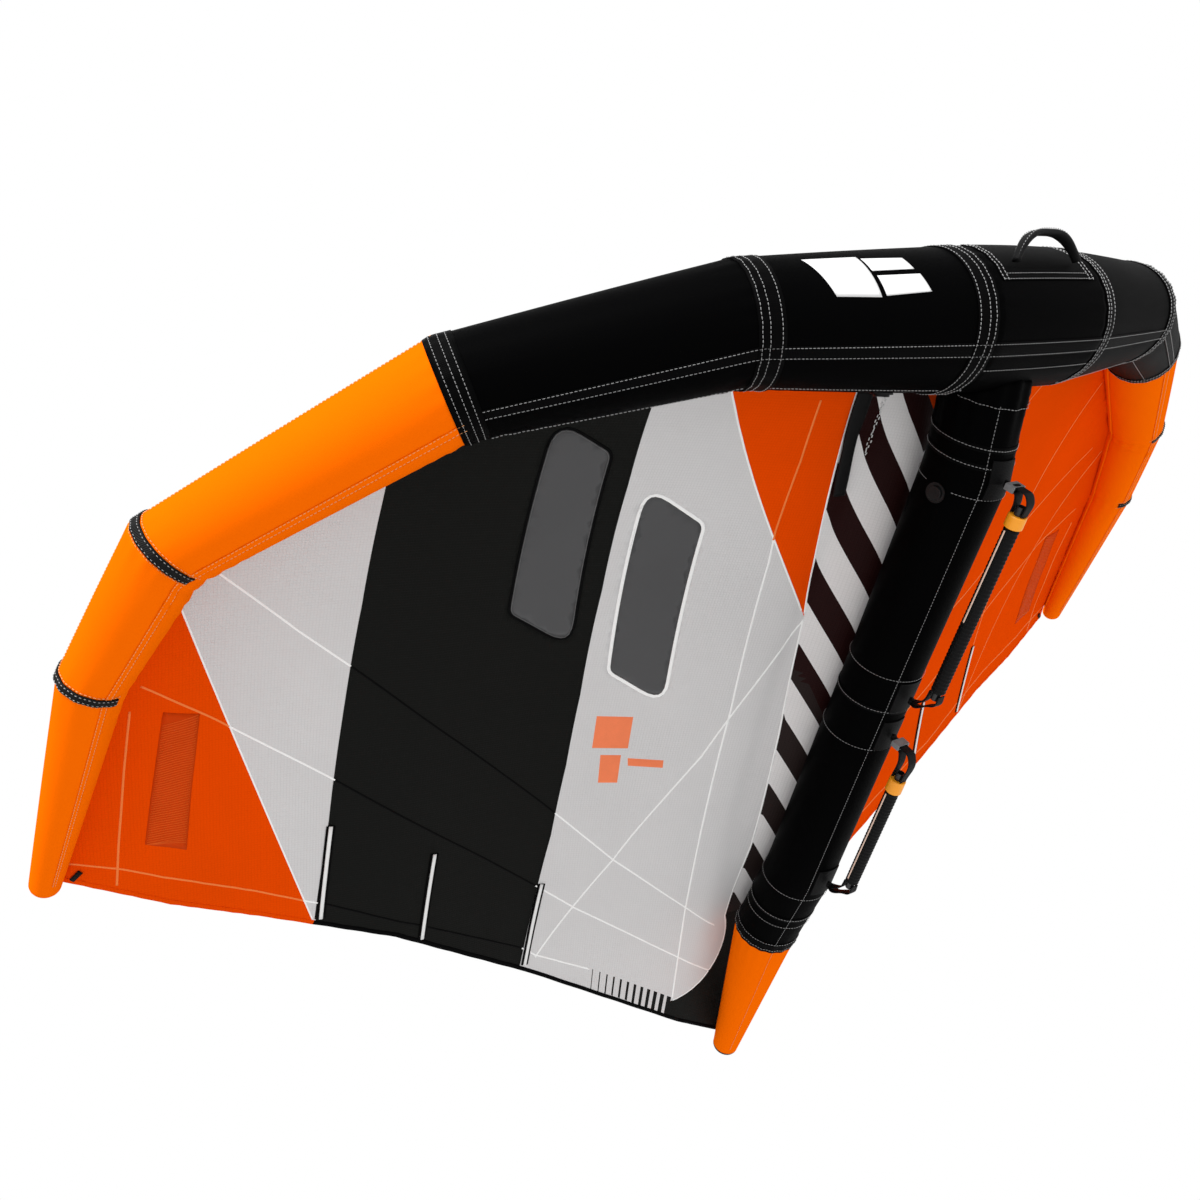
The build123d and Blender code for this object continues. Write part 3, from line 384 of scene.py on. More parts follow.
def le_at(s, angle, height=0.0):
    """Points and outward directions on the tube: s counts joints from the left tip, angle 0 aft, 90 degrees up."""
    s, angle = np.broadcast_arrays(np.asarray(s, float), np.asarray(angle, float))
    k = np.clip(np.floor(s).astype(int), 0, LAST - 1)
    f = s - k
    c, n = np.cos(angle)[..., None], np.sin(angle)[..., None]
    near, far = [P[j] + R[j][..., None] * (BACK[j] * c + UP[j] * n) for j in (k, k + 1)]
    point = near + (far - near) * f[..., None]
    radius = R[k] + (R[k + 1] - R[k]) * f
    out = unit(point - (P[k] + (P[k + 1] - P[k]) * f[..., None]))
    swell = SWELL_SHARE * radius * np.sin(pi * np.clip(f, 0, 1)) ** 0.8
    for j, distance in ((k, f * LENGTHS[k]), (k + 1, (1 - f) * LENGTHS[k])):
        lobes = np.round(2 * pi * R[j] / PUCKER_PITCH)
        inner = np.where((j > 0) & (j < LAST), 1.0, 0.0)
        swell = swell + inner * PUCKER * np.exp(-distance / PUCKER_DECAY) * np.cos(lobes * angle + 1.7 * j)
        turn = np.sum(out * BENDS[j], -1)
        fold = np.clip(turn, 0, None) / FULL_BEND * np.exp(-distance / FOLD_DECAY)
        swell = swell + FOLD * fold * (0.7 + np.cos(2 * pi * distance / FOLD_PITCH + 0.6 * np.sin(3 * angle)))
    return point + out * (swell + height)[..., None], out


def le_rows(start, end, step=0.012):
    """Places along the tube, closer together near its joints."""
    rows = [np.array([start])]
    for k in range(int(np.floor(start)), int(np.ceil(end))):
        a, b = max(start, k), min(end, k + 1)
        count = max(4, int((b - a) * LENGTHS[k] / step))
        t = np.arange(1, count + 1) / count
        rows.append(a + (b - a) * (t - 0.75 * np.sin(2 * pi * t) / (2 * pi)))
    return np.concatenate(rows)


AROUND = np.arange(144) * 2 * pi / 144
WALL, DOME = 0.0014, 0.8


def le_tube(name, start, end, finish, slot, nodes, tip=0):
    """One coloured length of the tube as a cloth wall, with a domed end at a tip."""
    s = le_rows(start, end)
    joint, grids = LAST if tip > 0 else 0, []
    for lift in (0.0, -WALL):
        grid = le_at(s[:, None], AROUND[None], lift)[0]
        if tip:
            phi = np.linspace(0, pi / 2, 9)[1:, None, None]
            ring = BACK[joint] * np.cos(AROUND)[:, None] + UP[joint] * np.sin(AROUND)[:, None]
            dome = P[joint] + (R[joint] + lift) * (
                ring[None] * np.cos(phi) + TANGENTS[joint] * tip * DOME * np.sin(phi))
            grid = np.vstack([grid, dome] if tip > 0 else [dome[::-1], grid])
        grids.append(grid)
    shell(name, *grids, finish, slot=slot, nodes=nodes, wrap=True, rims=(tip >= 0, tip <= 0), weld=bool(tip))


def le_cover(name, s, angle, finish, slot, lift, thick, nodes=(), wrap=False):
    """Cloth laid on the tube over a grid of places and angles."""
    grids = [le_at(s, angle, height)[0] for height in (lift + thick, lift)]
    shell(name, *grids, finish, slot=slot, nodes=nodes, wrap=wrap)


def le_band(name, start, end, finish, slot, lift, thick, angles=None, nodes=()):
    """Band across the tube, all the way round or between two angles in degrees."""
    a = AROUND if angles is None else np.radians(np.linspace(*angles, 96))
    le_cover(name, np.linspace(start, end, 6)[:, None], a[None], finish, slot, lift, thick, nodes, angles is None)


def long_band(name, start, end, low, high, finish, slot, thick):
    """Band along the tube between two angles in degrees."""
    a = np.radians(np.linspace(low, high, 7))
    le_cover(name, le_rows(start, end, 0.03)[:, None], a[None], finish, slot, 0.0004, thick)


def le_patch(name, corners, finish, lift, thick, slot, rows=12, columns=18, nodes=()):
    """Four-cornered patch on the tube; corners are (s, angle in degrees)."""
    place = quad_grid(corners, rows, columns)
    le_cover(name, place[..., 0], np.radians(place[..., 1]), finish, slot, lift, thick, nodes)


def le_row(s_from, s_to, a_from, a_to, height=0.0018, count=140):
    """A line of stitching on the tube between two places, angles in degrees."""
    return le_at(np.linspace(s_from, s_to, count), np.radians(np.linspace(a_from, a_to, count)), height)


# ---- strut surface
STRUT_Y = np.linspace(STRUT[0, 0], END_Y, 409)
TAIL_PUCKER, ROOT_FOLD, ROOT_RIPPLE, RIPPLE_PITCH = 0.0012, 0.0020, 0.0008, 0.021


def eased(column, reach=21):
    """Height or radius along the strut, its corners softened."""
    values = np.interp(STRUT_Y, STRUT[:, 0], STRUT[:, column])
    kernel = np.hanning(reach)
    padded = np.pad(values, reach // 2, mode="reflect", reflect_type="odd")
    return np.convolve(padded, kernel / kernel.sum(), mode="valid")


STRUT_ZS, STRUT_RS = eased(1), eased(2)


def strut_at(y, angle, height=0.0):
    """Points and outward directions on the strut: angle 0 to the right, 90 degrees up."""
    y, angle = np.broadcast_arrays(np.asarray(y, float), np.asarray(angle, float))
    z, radius = np.interp(y, STRUT_Y, STRUT_ZS), np.interp(y, STRUT_Y, STRUT_RS)
    wrinkle = TAIL_PUCKER * np.exp(-np.abs(y - TAIL_Y) / 0.03) * np.cos(18 * angle)
    root = np.exp(-np.clip(y + 0.40, 0, None) / 0.05)
    wrinkle = wrinkle + ROOT_FOLD * root * (1.2 + np.cos(15 * angle + 0.8 * np.sin(2 * angle)))
    wrinkle = wrinkle + ROOT_RIPPLE * root * (1 + np.sin(2 * pi * y / RIPPLE_PITCH))
    reach = radius + wrinkle + height
    out = np.stack([np.cos(angle), np.zeros_like(y), np.sin(angle)], -1)
    return np.stack([reach * out[..., 0], y, z + reach * out[..., 2]], -1), out


def strut_root(angle, clearance=0.0):
    """Where the strut meets the leading edge, at each angle round it."""
    y = np.full_like(angle, LE_Y + LE_R)
    for _ in range(4):
        z = strut_at(y, angle)[0][..., 2]
        y = LE_Y + np.sqrt(np.clip((LE_R + clearance) ** 2 - (z - LE_Z) ** 2, 0.0004, None))
    return y


def strut_row(y, a_from, a_to, height=0.0016, count=120):
    """A line of stitching round the strut between two angles in degrees."""
    return strut_at(np.full(count, y), np.radians(np.linspace(a_from, a_to, count)), height)


def strut_seam(y_from, y_to, angle, height, count):
    """A line of stitching along the strut at one angle."""
    return strut_at(np.linspace(y_from, y_to, count), np.full(count, radians(angle)), height)


# ---- canopy surface
# Ends of the chords, from the middle line to the tip.
BAYS = len(TE)
FRONT, REAR = [(0, CENTRE_Y[0], CENTRE_Z[0])], np.array([(0, CENTRE_Y[-1], CENTRE_Z[-1])] + TE)
for index in range(LAST + 1 - BAYS, LAST + 1):
    middle, radius = P[index], R[index]
    if index == LAST:
        middle = P[LAST - 1] + (middle - P[LAST - 1]) * TIP_SHARE
        radius = R[LAST - 1] + (radius - R[LAST - 1]) * TIP_SHARE
    FRONT.append(middle + (BACK[index] * cos(ATTACH) + UP[index] * sin(ATTACH)) * (radius + ATTACH_GAP))
FRONT = np.array(FRONT)


def cross2(a, b):
    """Z of the cross product of plan vectors."""
    return a[..., 0] * b[..., 1] - a[..., 1] * b[..., 0]


def canopy_uv(x, y):
    """Station number (0 middle, 6 tip) and share of the chord for points seen from above, right half.

    Each bay is turned back from a bilinear patch, and the bay that a point misses least is kept.
    """
    p = np.stack([x, y], -1)
    best = np.full(p.shape[:-1], 1e9)
    place, share = np.zeros(p.shape[:-1]), np.zeros(p.shape[:-1])
    for k in range(BAYS):
        a, b, c, d = FRONT[k, :2], FRONT[k + 1, :2], REAR[k + 1, :2], REAR[k, :2]
        e, f, g, h = b - a, d - a, a - b + c - d, p - a
        k2, k1, k0 = cross2(g, f), cross2(e, f) + cross2(h, g), cross2(h, e)
        for sign in (-1, 1):
            if abs(k2) < 1e-9:
                v = -k0 / np.where(abs(k1) < TINY, TINY, k1)
            else:
                v = (-k1 + sign * np.sqrt(np.clip(k1 * k1 - 4 * k0 * k2, 0, None))) / (2 * k2)
            wide = e + g * v[..., None]
            axis = np.abs(wide[..., 0]) > np.abs(wide[..., 1])
            top = np.where(axis, h[..., 0] - f[0] * v, h[..., 1] - f[1] * v)
            low = np.where(axis, wide[..., 0], wide[..., 1])
            u = top / np.where(np.abs(low) < TINY, TINY, low)
            miss = sum(np.clip(gap, 0, None) for gap in (-u, u - 1, -v, v - 1))
            better = miss < best
            best = np.where(better, miss, best)
            place, share = np.where(better, k + u, place), np.where(better, v, share)
    return np.clip(place, 0, BAYS), np.clip(share, 0, 1)


# Middle of the sheet over its lower face in CAD, and small pulls, ripples and creases in it.
SHEET_MID, PULL, FLUTTER, CREASE = 0.0015, 0.0012, 0.0006, 0.0010
ROOT_CHORD, CHORD_LOSS = 1.95, 0.24
SLOPE_STEP = 0.002


def canopy_z(x, y):
    """Height of the middle of the sheet."""
    s, v = canopy_uv(np.abs(x), y)
    off_centre = np.clip(s, 0, 1)
    k = np.clip(np.floor(s).astype(int), 0, BAYS - 1)
    u = s - k
    front = FRONT[k, 2] * (1 - u) + FRONT[k + 1, 2] * u
    rear = REAR[k, 2] * (1 - u) + REAR[k + 1, 2] * u
    w = off_centre ** 2 * (3 - 2 * off_centre)
    rise = smooth_interp(np.clip(s, 1, BAYS), np.arange(BAYS) + 1, CAMBER) * 4 * v * (1 - v) * (1 + 0.3 * (0.5 - v))
    middle_y = CENTRE_Y[0] + (CENTRE_Y[-1] - CENTRE_Y[0]) * v
    middle = smooth_interp(middle_y, CENTRE_Y, CENTRE_Z) - (CENTRE_Z[0] + (CENTRE_Z[-1] - CENTRE_Z[0]) * v)
    chord = ROOT_CHORD - CHORD_LOSS * s
    pull = PULL * np.exp(-v * chord / 0.10) * np.sin(2 * pi * s * 9.0) * np.clip(v * 30, 0, 1)
    flutter = FLUTTER * np.exp(-(1 - v) * chord / 0.12) * np.sin(2 * pi * (s * 4.3 + 0.12)) * off_centre
    crease = CREASE * np.sin(2 * pi * (s * 2.1 + v * 1.4)) * v * (1 - v) * 4 * off_centre
    return front * (1 - v) + rear * v + w * rise + (1 - w) * middle + SHEET_MID + pull + flutter + crease


def canopy_at(x, y, height=0.0):
    """Points on the sheet, moved off its middle by height, and its upward directions."""
    x, y, d = np.asarray(x, float), np.asarray(y, float), SLOPE_STEP
    z = canopy_z(x, y)
    slope_x = (canopy_z(x + d, y) - canopy_z(x - d, y)) / (2 * d)
    slope_y = (canopy_z(x, y + d) - canopy_z(x, y - d)) / (2 * d)
    up = unit(np.stack([-slope_x, -slope_y, np.ones_like(z)], -1))
    return np.stack([x, y, z], -1) + up * height, up


def inside(points, polygon):
    """Which points lie in a polygon."""
    polygon = np.asarray(polygon, float)
    x, y = points[:, 0], points[:, 1]
    hit = np.zeros(len(points), bool)
    for (ax, ay), (bx, by) in zip(polygon, np.roll(polygon, -1, axis=0)):
        crosses = (ay > y) != (by > y)
        hit ^= crosses & (x < (bx - ax) * (y - ay) / ((by - ay) or TINY) + ax)
    return hit


def rounded(corners, radius, count=7):
    """Polygon with rounded corners."""
    corners = [np.array(c, float) for c in corners]
    out = []
    for i, corner in enumerate(corners):
        before, after = unit(corners[i - 1] - corner), unit(corners[(i + 1) % len(corners)] - corner)
        half = np.arccos(np.clip(before @ after, -1, 1)) / 2
        reach = radius / np.tan(half)
        for t in np.linspace(0, 1, count):
            a, b = corner + before * reach, corner + after * reach
            out.append(a * (1 - t) ** 2 + corner * 2 * t * (1 - t) + b * t**2)
    return np.array(out)


def arc(start, middle, end, count=14):
    """Points after the start on the circle through three points."""
    a, b, c = (complex(*q) for q in (start, middle, end))
    w = (c - a) / (b - a)
    centre = (b - a) * (w - abs(w) ** 2) / (2j * w.imag) + a
    turn = np.angle((c - centre) / (a - centre))
    places = [centre + (a - centre) * np.exp(1j * turn * t) for t in np.arange(1, count + 1) / count]
    return [(q.real, q.imag) for q in places]


EDGE_STEP, LINE_STEP, SHEET_STEP, PANE_STEP = 0.02, 0.008, 0.014, 0.02
SHEET_THICK, FILM_THICK = 0.0006, 0.0004
PANES = [rounded(corners, radius) for corners, radius in WINDOWS]
ROOT_ARC = arc(ROOT_JOIN[-1], ROOT_CORNER, ROOT_END[0])
BORDER = np.vstack([resample(FRONT[:, :2], EDGE_STEP), resample([FRONT[-1, :2], REAR[-1, :2]], EDGE_STEP)[1:],
                    resample(REAR[::-1, :2], EDGE_STEP)[1:],
                    resample([REAR[0, :2], FRONT[0, :2]], SHEET_STEP)[1:-1]])
TIP_AREA = TIP_JOIN + [(1.75, -0.080), (1.75, 1.300), (1.078, 1.300)]
OUTER_AREA = OUTER_JOIN + [(1.500, FRONT_Y), TIP_JOIN[1]]
DARK_AREA = OUTER_JOIN[::-1] + [(1.078, REAR_Y)] + DARK_JOIN[::-1]
ROOT_AREA = ROOT_JOIN + ROOT_ARC + ROOT_END[1:] + [(-0.01, REAR_Y), (-0.01, FRONT_Y), WEDGE[1]]
# A stripe is where y + slope * x is in its part of a step. They run past the middle line by an overlap.
STRIPE_SLOPE, STRIPE_START, STRIPE_STEP, STRIPE_WIDTH, STRIPE_END = 1.45, -0.135, 0.178, 0.086, 1.12
STRIPE_OVERLAP, MAROON_END = 0.030, 0.45
BAR_COUNT, BAR_TOP, BAR_LENGTH, BAR_PITCH, BAR_SPILL = 12, 0.390, 0.072, 0.0195, 0.02


def te_y(x):
    """Trailing edge seen from above."""
    return float(np.interp(x, REAR[:, 0], REAR[:, 1]))


# Bars of growing width along the trailing edge.
BARS = []
for number in range(BAR_COUNT):
    right = BAR_TOP - BAR_PITCH * number
    left = right - (0.002 + 0.010 * number / (BAR_COUNT - 1))
    BARS.append([(x, te_y(x) + reach) for x, reach in (
        (right, -BAR_LENGTH), (left, -BAR_LENGTH), (left, BAR_SPILL), (right, BAR_SPILL))])
# Plain blocks where the printed marks are.
PRINTS = [[(0.392, 0.500), (0.472, 0.500), (0.468, 0.590), (0.388, 0.590)],
          [(0.400, 0.610), (0.446, 0.610), (0.440, 0.690), (0.396, 0.690)],
          [(0.306, 0.618), (0.384, 0.618), (0.380, 0.640), (0.304, 0.640)]]


# Material numbers of the sheet, and what stands for a window.
CLOTHS = ["cloth_orange", "cloth_grey", "cloth_black", "stripe_white", "stripe_dark", "stripe_maroon", "print_orange"]
ORANGE, GREY, BLACK, WHITE, DARK, MAROON, PRINT = range(len(CLOTHS))
WINDOW = -1


def region(points):
    """Material number of the sheet at points seen from above, or WINDOW."""
    x, y = np.abs(points[:, 0]), points[:, 1]
    p = np.stack([x, y], -1)
    kind = np.full(len(p), GREY)
    areas = [(TIP_AREA, ORANGE), (OUTER_AREA, GREY), (DARK_AREA, BLACK), (WEDGE, ORANGE)]
    for area, number in areas + [(bar, BLACK) for bar in BARS] + [(block, PRINT) for block in PRINTS]:
        kind[inside(p, area)] = number
    q = y + STRIPE_SLOPE * x
    band = np.mod(q - STRIPE_START, STRIPE_STEP) < STRIPE_WIDTH
    root = inside(p, ROOT_AREA)
    kind[root & band] = DARK
    kind[root & band & (q < MAROON_END)] = MAROON
    kind[root & ~band] = WHITE
    kind[root & (q < STRIPE_START - STRIPE_STEP)] = ORANGE
    kind[root & (y > STRIPE_END)] = BLACK
    kind[points[:, 0] > STRIPE_OVERLAP] = ORANGE
    for pane in PANES:
        kind[inside(p, pane) & (points[:, 0] < 0)] = WINDOW
    return kind


def to_segments(polyline, closed=False):
    """Pairs of neighbouring points."""
    points = [tuple(q) for q in polyline]
    return list(zip(points, points[1:] + points[:1] if closed else points[1:]))


def triangulate(lines, step, border):
    """Triangles in plan that keep every line as edges, with even points between."""
    a, b = (np.array(points) for points in zip(*lines))
    low, high = border.min(0), border.max(0)
    grid = []
    for j, y in enumerate(np.arange(low[1], high[1], step * 0.866)):
        xs = np.arange(low[0] + (step / 2 if j % 2 else 0), high[0], step)
        grid.append(np.stack([xs, np.full_like(xs, y)], -1))
    grid = np.vstack(grid)
    grid = grid[inside(grid, border)]
    gaps = []
    for q in np.array_split(grid[:, None], len(grid) // 2000 + 1):
        t = np.clip(np.sum((q - a) * (b - a), -1) / np.maximum(np.sum((b - a) ** 2, -1), TINY), 0, 1)
        gaps.append(np.linalg.norm(q - (a + (b - a) * t[..., None]), axis=-1).min(1))
    grid = grid[np.concatenate(gaps) > step * 0.42]
    verts = [Vector(q) for q in np.vstack([a, b, grid])]
    edges = [(i, i + len(a)) for i in range(len(a))]
    out = delaunay_2d_cdt(verts, edges, [], 0, 1e-5)
    points, faces = np.array([tuple(q) for q in out[0]]), np.array(out[2])
    centres = points[faces].mean(1)
    return points, faces[inside(centres, border)]


def clipped(polyline):
    """The part of a plan polyline that lies on the canopy."""
    dense = resample(polyline, LINE_STEP)
    return dense[inside(dense, BORDER)]


def outline(polygon):
    """Closed polyline round a polygon."""
    return resample(np.vstack([polygon, polygon[:1]]), EDGE_STEP)


# Every colour border is an edge of the mesh.
lines = to_segments(BORDER, closed=True)
for join in (TIP_JOIN, OUTER_JOIN, DARK_JOIN, WEDGE[::2], WEDGE[1:], ROOT_JOIN + ROOT_ARC, ROOT_END):
    inner_part = clipped(join)
    lines += to_segments(inner_part[::3].tolist() + inner_part[-1:].tolist())
for pane in PANES:
    lines += to_segments(outline(pane))
for block in PRINTS:
    lines += to_segments(block, closed=True)
for bar in BARS:
    lines += [tuple(bar[:2])] + to_segments(clipped(bar[1:3])[::4]) + to_segments(clipped(bar[::3])[::4])
stripe_starts = STRIPE_START + STRIPE_STEP * np.arange(-1, 10)
for q in np.stack([stripe_starts, stripe_starts + STRIPE_WIDTH], -1).ravel():
    line = clipped([(0.0005, q), (0.225, q - STRIPE_SLOPE * 0.225)])
    line = line[inside(line, ROOT_AREA)]
    if len(line) > 2 and q <= STRIPE_END + 0.09:
        lines += to_segments(line[::2])
lines += to_segments([(0.0005, STRIPE_END), (0.0518, STRIPE_END)])
lines += to_segments(clipped([(STRIPE_OVERLAP, FRONT_Y), (STRIPE_OVERLAP, 1.600)])[::3])
plan, triangles = triangulate(lines, SHEET_STEP, BORDER)
right_kinds, left_kinds = [region(plan[triangles].mean(1) * (side, 1)) for side in (1, -1)]
solid = left_kinds != WINDOW
both_plan = np.vstack([plan, plan * (-1, 1)])
sheet_points = np.column_stack([both_plan, canopy_z(*both_plan.T)])
both_triangles = np.vstack([triangles, triangles[solid][:, ::-1] + len(plan)])
PANEL_NODES = [f"{part}_panel_{side}" for part in ("tip", "outer", "dark", "wedge", "inner", "root")
               for side in ("left", "right")]
used, renumbered = np.unique(both_triangles, return_inverse=True)
canopy = piece("canopy", sheet_points[used], renumbered.reshape(-1, 3).tolist(), CLOTHS, slot="cloth_grey",
               indices=np.concatenate([right_kinds, left_kinds[solid]]), replaces=PANEL_NODES, weld=True)


def solidify(obj, thick):
    """Give a sheet its thickness, half on each side."""
    modifier = obj.modifiers.new("cloth", "SOLIDIFY")
    modifier.thickness = thick
    modifier.offset = 0.0
    modifier.use_even_offset = False


solidify(canopy, SHEET_THICK)
pane_points, pane_faces = [], []
for pane in PANES:
    edge = outline(pane)
    flat, flat_faces = triangulate(to_segments(edge), PANE_STEP, edge[:-1])
    pane_faces += (flat_faces + sum(len(p) for p in pane_points)).tolist()
    flat = flat * (-1, 1)
    pane_points.append(np.column_stack([flat, canopy_z(*flat.T)]))
window_panes = piece("window_panes", np.vstack(pane_points), pane_faces, "window_film", slot="window_film",
                     replaces=["windows"])
solidify(window_panes, FILM_THICK)

# ---- canopy seams and trims
RIBBON = np.array([(-0.5, 0), (-0.36, 1), (0.36, 1), (0.5, 0), (0.36, -1), (-0.36, -1)])
SEAM_FINISHES = ["seam_orange", "seam_white", "seam_black"]
SEAM_OF_KIND = np.array([0, 1, 2, 1, 1, 1, 0, 1])  # seam finish on each kind of cloth, and last on a window
SEAM_THICKNESS = 0.0016


def ribbons(name, polylines, width, thick, finish=None, height=0.0, slot="webbing_black", nodes=(), sides=(1, -1),
            step=0.02, by_panel=None):
    """Flat seams along plan polylines that stand out on both faces of the sheet.

    They have one finish, or by_panel has those for orange, pale and black cloth.
    """
    points, faces, indices = [], [], []
    for polyline in polylines:
        for side in sides:
            path = resample(np.asarray(polyline, float) * (side, 1), step)
            middles, ups = canopy_at(path[:, 0], path[:, 1], height)
            ribbon, quads = loft(sweep(middles, ups, RIBBON * (width, thick / 2)))
            start = sum(len(q) for q in points)
            points.append(ribbon)
            faces += [[v + start for v in face] for face in quads]
            if by_panel:
                numbers = SEAM_OF_KIND[region((path[:-1] + path[1:]) / 2)]
                indices += [*np.repeat(numbers, len(RIBBON)), numbers[0], numbers[-1]]
    return piece(name, np.vstack(points), faces, by_panel or finish, slot=slot, indices=indices or None,
                 replaces=nodes)


SEAMS = [
    [(1.278, 0.059), (1.129, 0.208), (1.018, 0.310), (0.527, 0.776), (0.373, 0.921), (0.167, 1.082), (0.080, 1.152)],
    [(1.401, 0.296), (1.240, 0.428), (1.037, 0.589), (0.565, 0.976), (0.453, 1.061), (0.172, 1.242), (0.104, 1.287),
     (0.060, 1.318)],
    [(0.542, 1.197), (0.375, 0.921), (0.225, 0.602), (0.098, 0.202)],
    [(0.255, -0.322), (0.238, -0.185), (0.228, -0.013), (0.217, 0.059), (0.190, 0.462), (0.175, 1.083), (0.160, 1.391)],
    [(1.420, 0.351), (1.456, 0.779)],
    [(1.535, 0.713), (1.453, 0.737), (1.108, 0.889), (1.051, 0.911), (0.860, 1.004), (0.579, 1.161), (0.542, 1.191),
     (0.398, 1.258)],
]
canopy_seams = ribbons("canopy_seams", SEAMS, 0.0050, 0.0018, step=0.007, by_panel=SEAM_FINISHES)
join_lines = [clipped(j)[1:-1] for j in (TIP_JOIN, OUTER_JOIN, DARK_JOIN, ROOT_JOIN + ROOT_ARC)]
wedge_lines = [clipped([corner, WEDGE[2]])[1:-1] for corner in WEDGE[:2]]
panel_joins, tip_join, root_join, right_joins, wedge_joins = [
    ribbons(name, polylines, width, SEAM_THICKNESS, finish, sides=(side,)) for name, polylines, width, finish, side in (
        ("panel_joins", join_lines[1:3], 0.0060, "cloth_black", -1),
        ("tip_join", join_lines[:1], 0.0040, "seam_white", -1),
        ("root_join", join_lines[3:], 0.0045, "seam_white", -1),
        ("right_joins", join_lines, 0.0045, "seam_orange", 1),
        ("wedge_joins", wedge_lines, 0.0045, "seam_white", -1))]


def inset(polygon, distance):
    """Closed polyline a distance inside a polygon."""
    polygon = np.asarray(polygon, float)
    tangent = unit(np.roll(polygon, -1, axis=0) - np.roll(polygon, 1, axis=0))
    normal = np.stack([tangent[:, 1], -tangent[:, 0]], -1)
    centre = polygon.mean(0)
    sign = np.sign(np.sum(normal * (centre - polygon), -1, keepdims=True))
    moved = polygon + normal * sign * distance
    return np.vstack([moved, moved[:2]])


for name, pane, moved_in, width, thick, finish in (
        ("window_hem_outer", 0, 0.000, 0.007, 0.0018, "seam_black"),
        ("window_line_outer", 0, 0.0050, 0.0014, 0.0020, "thread_dim"),
        ("window_hem_inner", 1, 0.000, 0.0085, 0.0018, "seam_white")):
    ribbons(name, [inset(PANES[pane], moved_in)], width, thick, finish, sides=(-1,))
TAPE_WIDTH, TAPE_DEPTH, TAPE_IN = 0.012, 0.0026, 0.003
tape_line = REAR[:, :2] - (0, TAPE_IN)
tape = ribbons("trailing_edge_tape_visual", [resample(tape_line[1:], 0.02)], TAPE_WIDTH, TAPE_DEPTH,
               nodes=["trailing_edge_tape"], by_panel=["cloth_orange", "band_black", "band_black"])
ribbons("trailing_edge_tape_middle", [[tape_line[1] * (-1, 1), tape_line[0], tape_line[1]]], TAPE_WIDTH, TAPE_DEPTH,
        "band_black", sides=(1,))
pockets = ribbons("batten_pockets_visual", BATTENS, 0.019, 0.0020, "seam_black", -0.0018, nodes=["batten_pockets"])
ribbons("batten_stripes", BATTENS, 0.0085, 0.0030, "batten_white", -0.0034, "batten_white", ["battens"])

# Hatched patches near the tips, sewn under both halves of the sheet.
PATCH = np.array([(1.298, 0.384), (1.363, 0.366), (1.402, 0.683), (1.327, 0.713)])
PATCH_LIFT, PATCH_THICK, HATCH_STEP, HATCH_SLANT, HATCH_IN = 0.0004, 0.0004, 0.018, 0.10, 0.04
for side, label in ((1, "right"), (-1, "left")):
    place = quad_grid(PATCH * (side, 1), 28, 8)
    grids = [canopy_at(place[..., 0], place[..., 1], -h)[0] for h in (PATCH_LIFT + PATCH_THICK, PATCH_LIFT)]
    shell(f"tip_patch_{label}", *grids, "hatch_orange", slot="cloth_orange")
hatches = []
for t in np.arange(0.004, 0.95, HATCH_STEP):
    left = PATCH[0] + (PATCH[3] - PATCH[0]) * t
    right = PATCH[1] + (PATCH[2] - PATCH[1]) * min(1.0, t + HATCH_SLANT)
    hatches.append([left + (right - left) * share for share in (HATCH_IN, 1 - HATCH_IN)])
ribbons("tip_patch_ribs", hatches, 0.0020, 0.0010, "rib_orange", -0.0009)
ribbons("tip_webbing_visual", [[(1.516, 0.734), (1.533, 0.752)]], 0.011, 0.0030, "webbing", -0.003,
        nodes=["tip_webbing"])

# ---- leading edge pieces
le_tube("tube_black_cloth", 3, 8, "tube_black", "tube_black",
        ["le_centre_casing", "le_inner_casing_left", "le_inner_casing_right", "le_middle_casing_left",
         "le_middle_casing_right"])
for side, start, end, tip in (("left", 0, 3, -1), ("right", 8, LAST, 1)):
    le_tube(f"tube_orange_cloth_{side}", start, end, "tube_orange", "tube_orange",
            [f"le_{part}_casing_{side}" for part in ("outer", "shoulder", "tip")], tip)


def mirrored(flip, places):
    """Places on the left half as they are, or the same places on the right half."""
    return [LAST - s if flip else s for s in places]


# Bands round the joints: joint of the left half, then offsets from it of the ends and of the stitch rows.
BANDS = [(3, (-0.014, 0.032), (-0.004, 0.010, 0.022)), (4, (-0.006, 0.040), (0.0, 0.013, 0.033)),
         (5, (-0.052, -0.012), (-0.048, -0.030, -0.018))]
black_rows, orange_rows, strap_rows = [], [], []
for joint, ends, offsets in BANDS:
    for flip in (False, True):
        start, end = sorted(mirrored(flip, [le_s(joint, o) for o in ends]))
        nodes = ["le_seam_bands"] if joint == 3 and not flip else ()
        le_band(f"seam_band_{LAST - joint if flip else joint}", start, end, "band_black", "tube_black",
                0.0005, 0.0012, nodes=nodes)
        black_rows += [le_row(s, s, 42, 389, 0.0020) for s in mirrored(flip, [le_s(joint, o) for o in offsets])]

